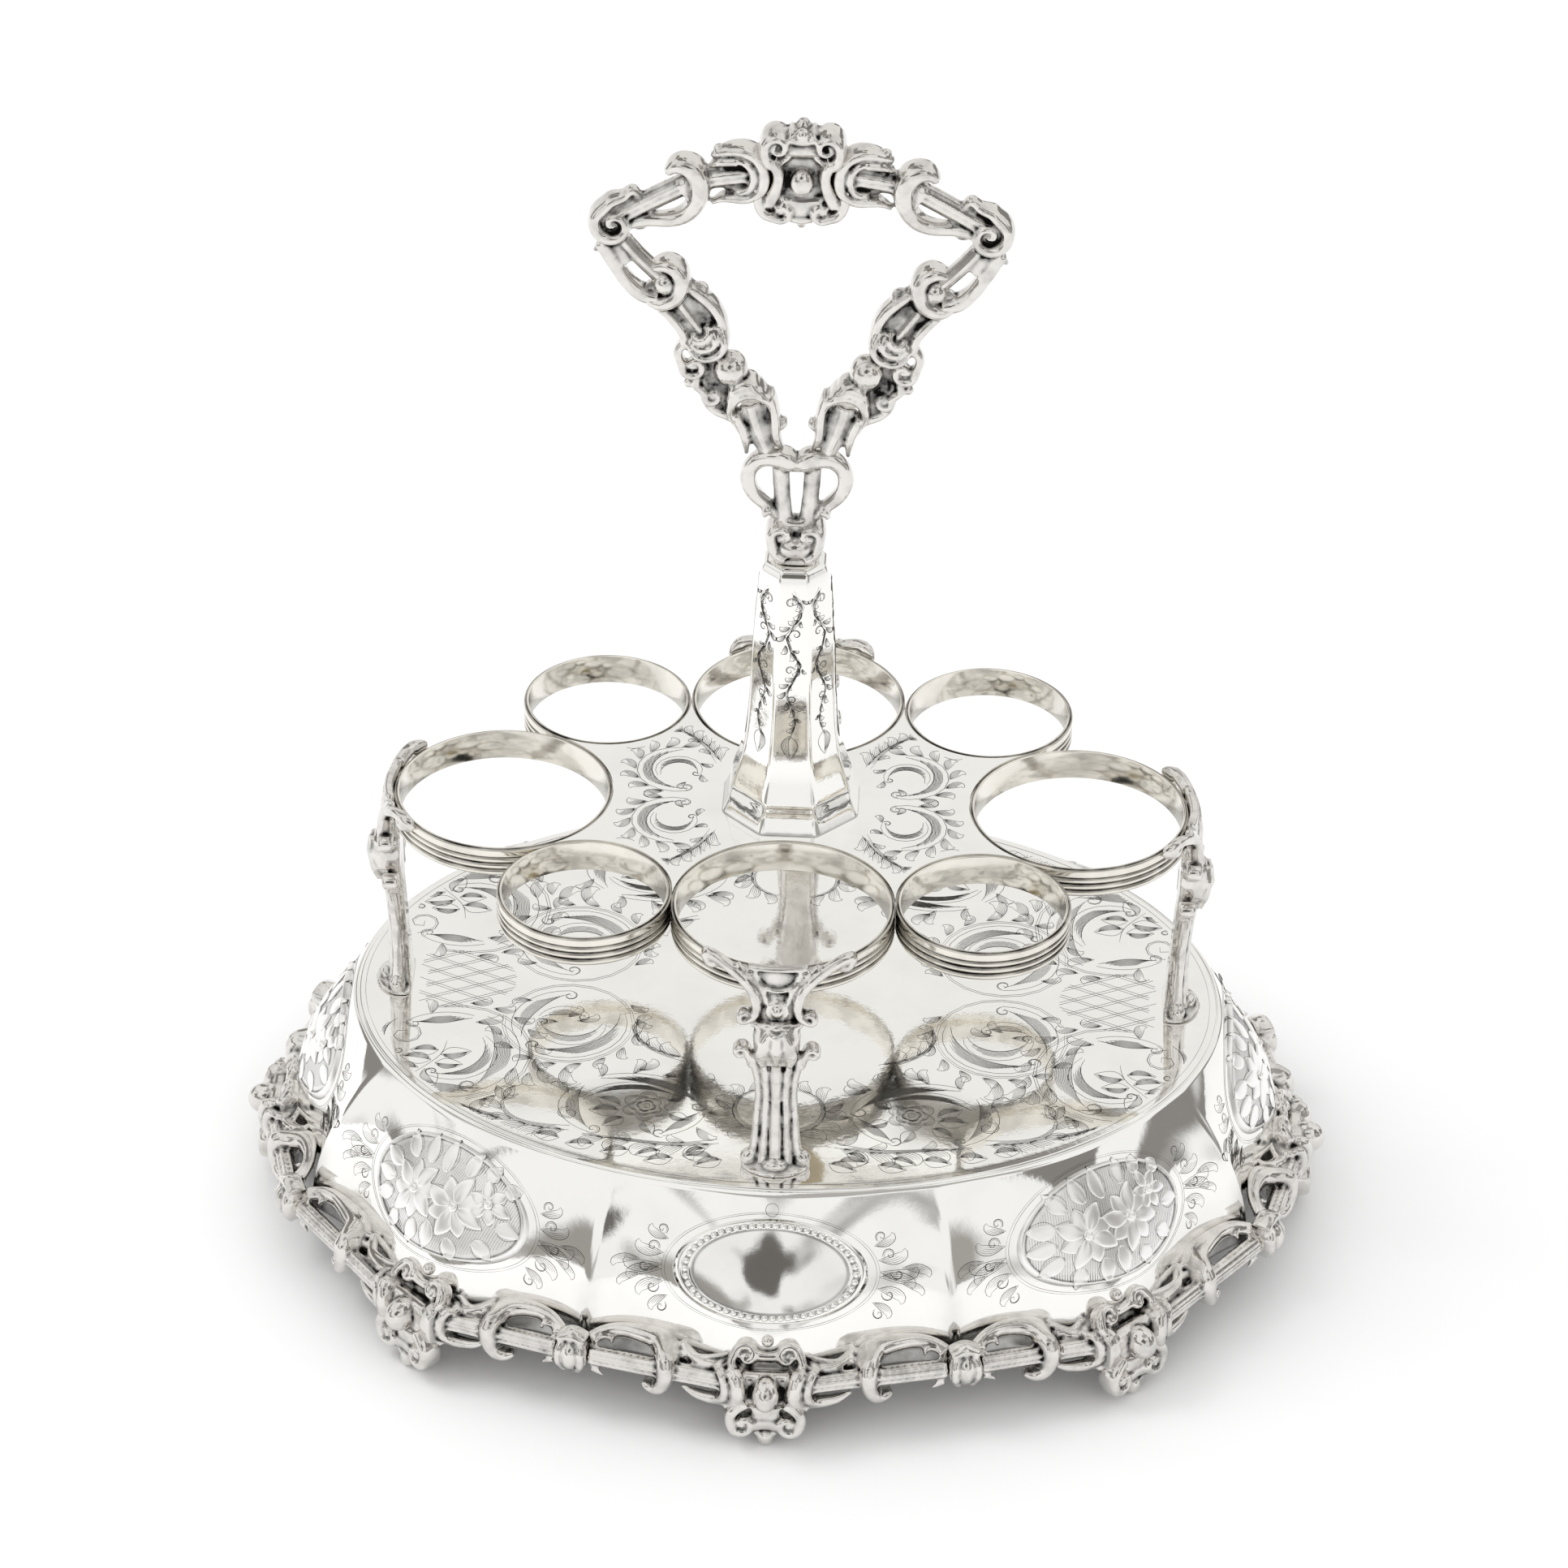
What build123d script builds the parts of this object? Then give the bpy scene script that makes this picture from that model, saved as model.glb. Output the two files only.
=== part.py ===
from build123d import *
import math
import os

# Eight-bottle cruet frame: an oval engraved base on eight scroll feet, four cast legs,
# a deck with eight bottle rings, an octagonal stem and a cast scroll handle.
# Millimetres, +Z up, origin on the table under the middle of the base.
# The front of the frame faces -Y, and its long side lies along X.

os.makedirs("parts", exist_ok=True)

# Running and solder gaps
solder_gap = 0.05
stud_clearance = 0.1
cut_overrun = 2.0

# Turned work: the facets of a bead as shares of its half width and rise, and of an egg
bead_shares = ((-1, 0), (-0.75, 0.65), (-0.3, 0.98), (0.3, 0.98), (0.75, 0.65), (1, 0))
spindle_facets = 8
spindle_end_angle = math.radians(22)

# Base plate, an oval floor on which the bottles stand
plate_half_length = 100.7
plate_half_width = 76.7
plate_height = 52.1
plate_thickness = 1.6
plate_edge_radius = 1.3

# Skirt, eight swept panels that meet in raised crests
skirt_wall = 1.2
skirt_foot_height = 12.5
crest_angle_front = 68.9
crest_angle_side = 25.4
flank_hollow = 1.6
flank_share = 0.3
fall_shares = (0.0, 0.14, 0.32, 0.55, 0.78, 1.0)
fall_power = 2.0

# Oval medallions, one on each panel
medallion_half_length_front = 20.6
medallion_half_length = 18.0
medallion_half_height_front = 11.5
medallion_half_height = 13.2
medallion_rise = 1.0
medallion_depth = 4.5
medallion_fall_share = 0.42
slope_step_share = 0.04

# Border line, through the middle of eight jewels and eight knots
border_height = 15.2
jewel_front_y = 101.4
jewel_side_x = 121.3
jewel_corner_x = 82.1
jewel_corner_y = 78.2
knot_front_x = 43.8
knot_front_y = 90.3
knot_side_x = 112.4
knot_side_y = 38.5

# Jewel, its collars and the double scroll over it
jewel_radius = 3.7
jewel_half_height = 5.0
jewel_lift = 0.9
collar_near = 5.6
collar_far = 8.6
collar_half_width = 1.4
collar_rise = 1.8
rod_start = 1.8
upper_scroll_spread = 4.4
upper_scroll_rise = 8.0
upper_scroll_ring = 1.7
upper_scroll_wire = 1.05
upper_scroll_eye = 0.9
scroll_inset = 2.2
upper_bead_rise = 11.8
upper_bead_radius = 1.4

# Border rods, wrapped bands, open loops and leaf spurs
rod_radius = 2.6
band_share = 0.53
loop_radius = 6.2
loop_wire_radius = 1.25
band_half_width = 1.6
band_rise = 1.5
spur_root_radius = 1.6
spur_tip_radius = 0.35
spur_length = 4.6
spur_drop = 4.4
wave_share = 0.36
wave_rise = 4.8
wave_radius = 1.5
knot_half_length = 3.4
knot_rise = 1.7
knot_band_half_width = 1.5
knot_band_shares = (0.5, 1.5)
knot_crown_rise = 3.9
knot_gap = 0.6

# Feet, one double scroll with a pendant bead under each jewel
foot_scroll_spread = 5.0
foot_scroll_drop = 8.6
foot_scroll_ring = 2.2
foot_scroll_wire = 1.25
foot_scroll_eye = 1.15
foot_neck_radius = 3.0
foot_bead_radius = 2.3
foot_bead_lift = 1.7

# Bottle rings
large_ring_radius = 25.0
small_ring_radius = 19.6
large_ring_x = 65.7
large_ring_y = 42.2
ring_wall = 1.2
ring_height = 7.5
reed_count = 4
reed_radius = 0.9
reed_depth = 0.4

# Deck
deck_height = 106.0
deck_thickness = 1.0
deck_tip_radius = 1.6

# Legs, flat-backed castings from the plate to the large rings
leg_pad_half_width = 8.2
leg_pad_thickness = 1.2
leg_pad_reach = 4.4
leg_back = 1.3
leg_ball_radius = 1.7
leg_ball_spread = 5.6
leg_rib_radius = 1.9
leg_rib_spread_foot = 3.9
leg_rib_spread_waist = 2.5
leg_rib_spread_head = 3.1
leg_waist_share = 0.42
leg_head_share = 0.56
leg_boss_radius = 5.4
leg_boss_share = 0.665
leg_ear_spread = 6.3
leg_ear_radius = 1.5
leg_scroll_spread = 7.2
leg_scroll_ring = 1.7
leg_scroll_wire = 1.1
leg_scroll_share = 0.79
leg_bead_radius = 1.9
leg_bead_share = 0.835
leg_arm_spread = 15.6
leg_arm_radius_low = 2.0
leg_arm_radius_top = 1.6
leg_arm_knee_share = 0.9
leg_arm_knee_spread = 7.6
leg_top_rise = 2.2
leg_shield_half_width = 6.4
leg_shield_thickness = 2.0
leg_shield_share = 0.86
leg_stud_radius = 1.6
leg_stud_margin = 0.3
leg_stud_overhang = 1.0

# Leg nuts under the plate
leg_nut_half_width = 3.6
leg_nut_thickness = 2.8

# Stem, an octagonal hollow trumpet
stem_wall = 1.4
stem_height = 64.7
stem_level_shares = (0.0, 0.02, 0.1, 0.23, 0.38, 0.62, 0.9, 0.975, 1.0)
stem_half_widths = (16.6, 15.2, 13.6, 11.2, 10.0, 9.3, 8.1, 7.4, 6.0)
stem_sides = 8

# Collar between stem and handle, and the tie rod through them
knob_radius = 5.8
knob_lift = 3.6
knob_ring_radius = 4.4
knob_ring_wire = 1.2
knob_scroll_spread = 3.2
knob_scroll_lift = 7.0
knob_scroll_radius = 2.3
tie_rod_radius = 2.2
tie_rod_socket = 5.0
deck_washer_radius = 9.5
deck_washer_thickness = 1.0
deck_nut_half_width = 4.2
deck_nut_thickness = 3.6
tie_rod_overhang = 1.2

# Handle, an open pear shape of fluted rods in the X-Z plane, heights above the deck
fork_foot_lift = 74.6
fork_head_lift = 88.6
fork_foot_x = 2.9
fork_head_x = 3.9
fork_pillar_radius = 1.7
fork_plate_radius = 2.1
fork_seat_radius = 3.4
fork_loop_x = 6.6
fork_loop_lift = 84.4
fork_loop_radius = 4.6
fork_loop_wire = 1.15
shank_head_x = 9.8
shank_head_lift = 106.1
shank_foot_radius = 1.8
shank_radius = 3.4
shank_wing_spread = 4.4
shank_wing_radius = 1.05
shank_collar_radius = 3.6
shank_collar_wire = 1.9
arm_bead_x = 14.6
arm_bead_lift = 112.6
arm_bead_radius = 4.3
arm_waist_x = 19.5
arm_waist_lift = 120.0
arm_tube_radius = 3.7
arm_shoulder_x = 28.4
arm_shoulder_lift = 132.5
arm_wing_spread = 5.0
scroll_plate_x = 24.2
scroll_plate_lift = 114.2
scroll_plate_ring = 2.5
scroll_low_x = 20.4
scroll_low_lift = 105.6
scroll_low_ring = 1.9
scroll_plate_wire = 1.2
scroll_bead_radius = 1.6
elbow_x = 40.9
elbow_lift = 148.2
elbow_ring_radius = 3.1
elbow_wire_radius = 2.1
bow_rod_radius = 2.7
side_rod_radius = 2.3
bow_band_x = 25.0
bow_band_lift = 157.6
bow_band_ring = 3.2
bow_band_wire = 1.6
bow_end_x = 9.2
bow_end_lift = 161.6
loop_bar_wire = 1.1
loop_bar_bulge = 5.2
loop_bar_reach_share = 0.62
bow_leaf_rise = 4.0
bow_leaf_share = 0.35
wing_foot_share = 0.35

# Crest, the double-scroll cartouche in the middle of the bow
crest_scroll_x = 5.4
crest_scroll_lift = 167.9
crest_scroll_ring = 2.6
crest_scroll_wire = 1.7
crest_top_lift = 171.8
crest_top_radius = 1.6
crest_boss_lift = 159.7
crest_boss_radius = 2.9
crest_core_radius = 5.4
crest_core_half_depth = 3.2
crest_low_x = 4.0
crest_low_lift = 152.8
crest_low_ring = 1.6
crest_low_wire = 1.2
crest_pendant_lift = 149.4
crest_pendant_radius = 1.2


def bar(start, end, start_radius, end_radius):
    """Round bar from one point to another, tapered where its two radii differ."""
    run = Vector(*end) - Vector(*start)
    seat = Plane(origin=Vector(*start), z_dir=run)
    foot_first = (Align.CENTER, Align.CENTER, Align.MIN)
    if math.isclose(start_radius, end_radius):
        return seat * Cylinder(start_radius, run.length, align=foot_first)
    return seat * Cone(start_radius, end_radius, run.length, align=foot_first)


def hoop(centre, axis, ring_radius, wire_radius):
    """Closed ring of round wire about an axis through a point."""
    return Plane(origin=Vector(*centre), z_dir=Vector(*axis)) * Torus(ring_radius, wire_radius)


def turned_bar(start, along, length, radius, beads):
    """Straight turned bar with round beads, each given by its place, half width and rise."""
    profile = [(0, 0), (0, radius)]
    for place, half_width, rise in beads:
        for run_share, rise_share in bead_shares:
            profile.append((place + half_width * run_share, radius + rise * rise_share))
    profile += [(length, radius), (length, 0)]
    turned = revolve(make_face(Polyline(*profile, close=True)), axis=Axis.X)
    return Plane(origin=Vector(*start), x_dir=Vector(*along), z_dir=(0, 0, 1)) * turned


def spindle(centre, half_length, radius):
    """Upright egg, turned from straight facets and cut flat at both ends."""
    profile = [(0, -half_length * math.cos(spindle_end_angle))]
    for step in range(spindle_facets + 1):
        share = step / spindle_facets
        turn = spindle_end_angle + (math.pi - 2 * spindle_end_angle) * share
        profile.append((radius * math.sin(turn), -half_length * math.cos(turn)))
    profile.append((0, half_length * math.cos(spindle_end_angle)))
    outline = make_face(Polyline(*profile, close=True))
    return Pos(*centre) * revolve(Plane.XZ * outline, axis=Axis.Z)


def turned_ball(centre, radius):
    """Ball of straight facets about a point."""
    return spindle(centre, radius, radius)


def ball(centre, radius):
    """Ball about a point."""
    return Pos(*centre) * Sphere(radius)


def arch(centre, along, up, ring_radius, wire_radius):
    """Half ring of round wire that springs from a line and rises to one side of it."""
    axis = Vector(*along).cross(Vector(*up))
    seat = Plane(origin=Vector(*centre), x_dir=Vector(*along), z_dir=axis)
    return seat * Torus(ring_radius, wire_radius, major_angle=180, align=None)


def fused(pieces):
    """All the given solids joined into one casting."""
    return Part() + pieces


def border_place(origin, along, outward, run, out, rise):
    """Point at a distance along, out from and above a point of the border line."""
    return (
        origin[0] + along[0] * run + outward[0] * out,
        origin[1] + along[1] * run + outward[1] * out,
        border_height + rise,
    )


def unit(x, y):
    """Level direction of length one."""
    length = math.hypot(x, y)
    return (x / length, y / length, 0)


jewels = {
    "front": (0, -jewel_front_y),
    "front_right": (jewel_corner_x, -jewel_corner_y),
    "right": (jewel_side_x, 0),
    "back_right": (jewel_corner_x, jewel_corner_y),
    "back": (0, jewel_front_y),
    "back_left": (-jewel_corner_x, jewel_corner_y),
    "left": (-jewel_side_x, 0),
    "front_left": (-jewel_corner_x, -jewel_corner_y),
}

knots = [
    (-knot_front_x, -knot_front_y),
    (knot_front_x, -knot_front_y),
    (knot_side_x, -knot_side_y),
    (knot_side_x, knot_side_y),
    (knot_front_x, knot_front_y),
    (-knot_front_x, knot_front_y),
    (-knot_side_x, knot_side_y),
    (-knot_side_x, -knot_side_y),
]

# Angles about the plate's oval of the crest before each panel, counted as the knots are
crest_angles = [
    crest_angle_front - 180,
    -crest_angle_front,
    -crest_angle_side,
    crest_angle_side,
    crest_angle_front,
    180 - crest_angle_front,
    180 - crest_angle_side,
    180 + crest_angle_side,
]

skirt_top_height = plate_height - plate_thickness
panels = list(jewels)

# The skirt's foot touches the collars beside each jewel and the wrapped band of each knot
middle_setback = rod_radius + collar_rise + solder_gap
crest_setback = rod_radius + knot_rise + solder_gap


def oval_point(angle):
    """Point of the plate's oval at an angle, and the outward direction there."""
    turn = math.radians(angle)
    point = (plate_half_length * math.cos(turn), plate_half_width * math.sin(turn))
    outward = unit(plate_half_width * math.cos(turn), plate_half_length * math.sin(turn))
    return point, outward


def panel_angles(index):
    """Oval angles of a panel's two crests and of its middle."""
    start = crest_angles[index]
    end = crest_angles[(index + 1) % len(crest_angles)]
    if end < start:
        end += 360
    return start, (start + end) / 2, end


def panel_foot(index):
    """Lowest line of a panel: crest, hollow flank, middle, hollow flank, crest."""
    first = knots[index]
    last = knots[(index + 1) % len(knots)]
    jewel = jewels[panels[index]]
    first_out = unit(*first)
    last_out = unit(*last)
    middle_out = unit(*jewel)
    start = (first[0] - first_out[0] * crest_setback, first[1] - first_out[1] * crest_setback)
    end = (last[0] - last_out[0] * crest_setback, last[1] - last_out[1] * crest_setback)
    middle = (jewel[0] - middle_out[0] * middle_setback, jewel[1] - middle_out[1] * middle_setback)
    flanks = []
    for corner in (start, end):
        x = corner[0] + (middle[0] - corner[0]) * flank_share - middle_out[0] * flank_hollow
        y = corner[1] + (middle[1] - corner[1]) * flank_share - middle_out[1] * flank_hollow
        flanks.append((x, y))
    return [start, flanks[0], middle, flanks[1], end]


def panel_line(index, drop_share, inset):
    """Outline of one panel at a share of the skirt's drop, set inwards by a wall."""
    start, middle, end = panel_angles(index)
    first_flank = start + (middle - start) * flank_share
    last_flank = end + (middle - end) * flank_share
    angles = (start, first_flank, middle, last_flank, end)
    fall = 1 - (1 - drop_share) ** fall_power
    height = skirt_top_height + (skirt_foot_height - skirt_top_height) * drop_share
    line = []
    for angle, foot in zip(angles, panel_foot(index)):
        top, outward = oval_point(angle)
        x = top[0] + (foot[0] - top[0]) * fall - outward[0] * inset
        y = top[1] + (foot[1] - top[1]) * fall - outward[1] * inset
        line.append((x, y, height))
    return line


def skirt_block(inset):
    """Solid within the skirt's outline, lofted down from the plate's oval to its foot."""
    sections = []
    for share in fall_shares:
        edges = [Spline(*panel_line(index, share, inset)) for index in range(len(panels))]
        sections.append(Face(Wire(edges)))
    return loft(sections)


def medallion_seat(index):
    """Plane on the middle of a panel, tilted back with its slope."""
    above = Vector(*panel_line(index, medallion_fall_share - slope_step_share, 0)[2])
    below = Vector(*panel_line(index, medallion_fall_share + slope_step_share, 0)[2])
    centre = Vector(*panel_line(index, medallion_fall_share, 0)[2])
    line = panel_line(index, medallion_fall_share, 0)
    across = Vector(*line[3]) - Vector(*line[1])
    return Plane(origin=centre, x_dir=across, z_dir=across.cross(above - below))


def medallion(index):
    """Raised oval pad of one panel, wider and lower on the front one."""
    half_length = medallion_half_length_front if index == 0 else medallion_half_length
    half_height = medallion_half_height_front if index == 0 else medallion_half_height
    pad = extrude(Ellipse(half_length, half_height), medallion_depth)
    return medallion_seat(index) * Pos(0, 0, medallion_rise - medallion_depth) * pad


def base_skirt():
    """Thin-walled skirt with an oval medallion raised on each of its panels."""
    shell = skirt_block(0) - skirt_block(skirt_wall)
    return shell + [medallion(index) for index in range(len(panels))]


# Places of the four legs on the plate and the outward direction of each; the flat back of
# a leg is in line with the bore of its ring, so that a bottle passes down to the plate
leg_front_reach = large_ring_y + large_ring_radius - ring_wall + leg_back
leg_side_reach = large_ring_x + large_ring_radius - ring_wall + leg_back
legs = {
    "front": (0, -leg_front_reach, -90),
    "right": (leg_side_reach, 0, 0),
    "back": (0, leg_front_reach, 90),
    "left": (-leg_side_reach, 0, 180),
}


# Distance of a leg's stud outwards from the middle of the leg, under its pad
stud_out = leg_stud_radius + stud_clearance + leg_stud_margin - leg_back


def stud_place(x, y, angle):
    """Point of the plate under the stud of one leg."""
    turn = math.radians(angle)
    return x + stud_out * math.cos(turn), y + stud_out * math.sin(turn)


def base_plate():
    """Oval plate with a rounded edge and a hole for the stud of each leg."""
    level = Pos(0, 0, plate_height - plate_thickness)
    plate = level * extrude(Ellipse(plate_half_length, plate_half_width), plate_thickness)
    rim = plate.edges().filter_by_position(Axis.Z, plate_height, plate_height)
    plate = fillet(rim, plate_edge_radius)
    drill = Cylinder(leg_stud_radius + stud_clearance, plate_height)
    holes = []
    for place in legs.values():
        x, y = stud_place(*place)
        holes.append(Pos(x, y, plate_height) * drill)
    return plate - holes


def border_half(jewel, knot):
    """Rod from a jewel to a knot with its wrapped band, open loop, wave and leaf spurs."""
    run = math.dist(jewel, knot)
    along = unit(knot[0] - jewel[0], knot[1] - jewel[1])
    outward = (along[1], -along[0], 0)
    if outward[0] * jewel[0] + outward[1] * jewel[1] < 0:
        outward = (-along[1], along[0], 0)
    up = (0, 0, 1)
    length = run - knot_half_length - knot_gap - rod_start

    def place(distance, out, rise):
        return border_place(jewel, along, outward, distance, out, rise)

    band = run * band_share
    wave = run * wave_share
    loop_middle = band + loop_radius
    beads = [
        (collar_near - rod_start, collar_half_width, collar_rise),
        (collar_far - rod_start, collar_half_width, band_rise),
        (band - rod_start, band_half_width, band_rise),
    ]
    pieces = [
        turned_bar(place(rod_start, 0, 0), along, length, rod_radius, beads),
        arch(place(loop_middle, 0, 0), along, up, loop_radius, loop_wire_radius),
        bar(
            place(upper_scroll_spread, -scroll_inset, upper_scroll_rise),
            place(wave, -scroll_inset, wave_rise),
            wave_radius,
            loop_wire_radius,
        ),
        turned_ball(place(wave, -scroll_inset, wave_rise), wave_radius),
        bar(
            place(wave, -scroll_inset, wave_rise),
            place(band, 0, rod_radius),
            loop_wire_radius,
            loop_wire_radius,
        ),
        bar(
            place(band, 0, -rod_radius),
            place(band - spur_length, 0, -spur_drop),
            spur_root_radius,
            spur_tip_radius,
        ),
        bar(
            place(loop_middle + loop_radius, 0, 0),
            place(loop_middle + loop_radius - spur_length, 0, -spur_drop),
            spur_root_radius,
            spur_tip_radius,
        ),
    ]
    return pieces


def border_segment(index):
    """Cast border piece of one panel: jewel, double scroll and a rod to each side."""
    jewel = jewels[panels[index]]
    outward = unit(*jewel)
    along = (-outward[1], outward[0], 0)

    def place(run, out, rise):
        return border_place(jewel, along, outward, run, out, rise)

    pieces = [spindle(place(0, 0, jewel_lift), jewel_half_height, jewel_radius)]
    for side in (-1, 1):
        scroll = place(side * upper_scroll_spread, -scroll_inset, upper_scroll_rise)
        pieces.append(hoop(scroll, outward, upper_scroll_ring, upper_scroll_wire))
        pieces.append(turned_ball(scroll, upper_scroll_eye))
        pieces.append(bar(scroll, place(0, 0, 0), upper_scroll_wire, rod_radius))
        bead = place(0, -scroll_inset, upper_bead_rise)
        pieces.append(bar(scroll, bead, upper_scroll_wire, upper_scroll_wire))
    pieces.append(turned_ball(place(0, -scroll_inset, upper_bead_rise), upper_bead_radius))
    pieces += border_half(jewel, knots[index])
    pieces += border_half(jewel, knots[(index + 1) % len(knots)])
    return fused(pieces)


def border_knots():
    """Knots that join neighbouring border pieces, one at each crest of the skirt."""
    solids = []
    bands = [(share * knot_half_length, knot_band_half_width, knot_rise) for share in knot_band_shares]
    for index, knot in enumerate(knots):
        before = jewels[panels[index - 1]]
        after = jewels[panels[index]]
        along = unit(after[0] - before[0], after[1] - before[1])
        centre = (knot[0], knot[1], border_height)
        outward = unit(*knot)
        start = (
            centre[0] - along[0] * knot_half_length,
            centre[1] - along[1] * knot_half_length,
            border_height,
        )
        crown = (centre[0], centre[1], border_height + knot_crown_rise)
        leaf = (
            centre[0] + outward[0] * spur_length,
            centre[1] + outward[1] * spur_length,
            border_height - spur_drop,
        )
        solids.append(
            fused([
                turned_bar(start, along, knot_half_length * 2, rod_radius, bands),
                turned_ball(crown, wave_radius),
                bar(centre, leaf, spur_root_radius, spur_tip_radius),
            ])
        )
    return Compound(children=solids)


def foot(index):
    """Double scroll with a pendant bead, cut level where it stands on the table."""
    jewel = jewels[panels[index]]
    outward = unit(*jewel)
    along = (-outward[1], outward[0], 0)

    def place(run, out, rise):
        return border_place(jewel, along, outward, run, out, rise)

    head = -rod_radius - solder_gap
    bead = (jewel[0], jewel[1], foot_bead_lift)
    pieces = [
        bar(place(0, 0, head), bead, foot_neck_radius, foot_bead_radius),
        turned_ball(bead, foot_bead_radius),
    ]
    for side in (-1, 1):
        scroll = place(side * foot_scroll_spread, 0, -foot_scroll_drop)
        pieces.append(hoop(scroll, outward, foot_scroll_ring, foot_scroll_wire))
        pieces.append(turned_ball(scroll, foot_scroll_eye))
        pieces.append(bar(scroll, bead, foot_scroll_wire, foot_scroll_wire))
    room = Box(
        jewel_side_x + jewel_front_y,
        jewel_side_x + jewel_front_y,
        border_height,
        align=(Align.CENTER, Align.CENTER, Align.MAX),
    )
    seat = spindle(place(0, 0, jewel_lift), jewel_half_height, jewel_radius)
    return fused(pieces) - Pos(jewel[0], jewel[1], 0) * room - seat


def small_ring_centre():
    """Centre of the front right small ring, which touches both large rings beside it."""
    reach = large_ring_radius + small_ring_radius + solder_gap
    span = math.hypot(large_ring_x, large_ring_y)
    rise = math.sqrt(reach ** 2 - (span / 2) ** 2)
    x = large_ring_x / 2 + large_ring_y / span * rise
    y = large_ring_y / 2 + large_ring_x / span * rise
    return x, y


small_ring_x, small_ring_y = small_ring_centre()
rings = {
    "ring_large_front": (0, -large_ring_y, large_ring_radius),
    "ring_small_front_right": (small_ring_x, -small_ring_y, small_ring_radius),
    "ring_large_right": (large_ring_x, 0, large_ring_radius),
    "ring_small_back_right": (small_ring_x, small_ring_y, small_ring_radius),
    "ring_large_back": (0, large_ring_y, large_ring_radius),
    "ring_small_back_left": (-small_ring_x, small_ring_y, small_ring_radius),
    "ring_large_left": (-large_ring_x, 0, large_ring_radius),
    "ring_small_front_left": (-small_ring_x, -small_ring_y, small_ring_radius),
}


def bottle_ring(x, y, radius):
    """Reeded band with a plain bore, flush with the top of the deck."""
    hang = (Align.CENTER, Align.CENTER, Align.MAX)
    band = Cylinder(radius - reed_depth, ring_height, align=hang)
    pitch = (ring_height - 2 * reed_radius) / (reed_count - 1)
    reeds = []
    for step in range(reed_count):
        level = -reed_radius - pitch * step
        reeds.append(Pos(0, 0, level) * Torus(radius - reed_radius, reed_radius))
    bore = Cylinder(radius - ring_wall, ring_height * 3)
    return Pos(x, y, deck_height) * ((band + reeds) - bore)


def deck_plate():
    """Flat deck that reaches between the rings, hollowed out round each of them."""
    places = list(rings.values())
    outline = make_face(Polyline(*[(x, y) for x, y, radius in places], close=True))
    cuts = [Pos(x, y) * Circle(radius + solder_gap) for x, y, radius in places]
    tips = []
    for here, there in zip(places, places[1:] + places[:1]):
        share = here[2] / (here[2] + there[2])
        x = here[0] + (there[0] - here[0]) * share
        y = here[1] + (there[1] - here[1]) * share
        tips.append(Pos(x, y) * Circle(deck_tip_radius))
    sheet = outline - cuts - tips - Circle(tie_rod_radius + stud_clearance)
    return Pos(0, 0, deck_height - deck_thickness) * extrude(sheet, deck_thickness)


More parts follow.
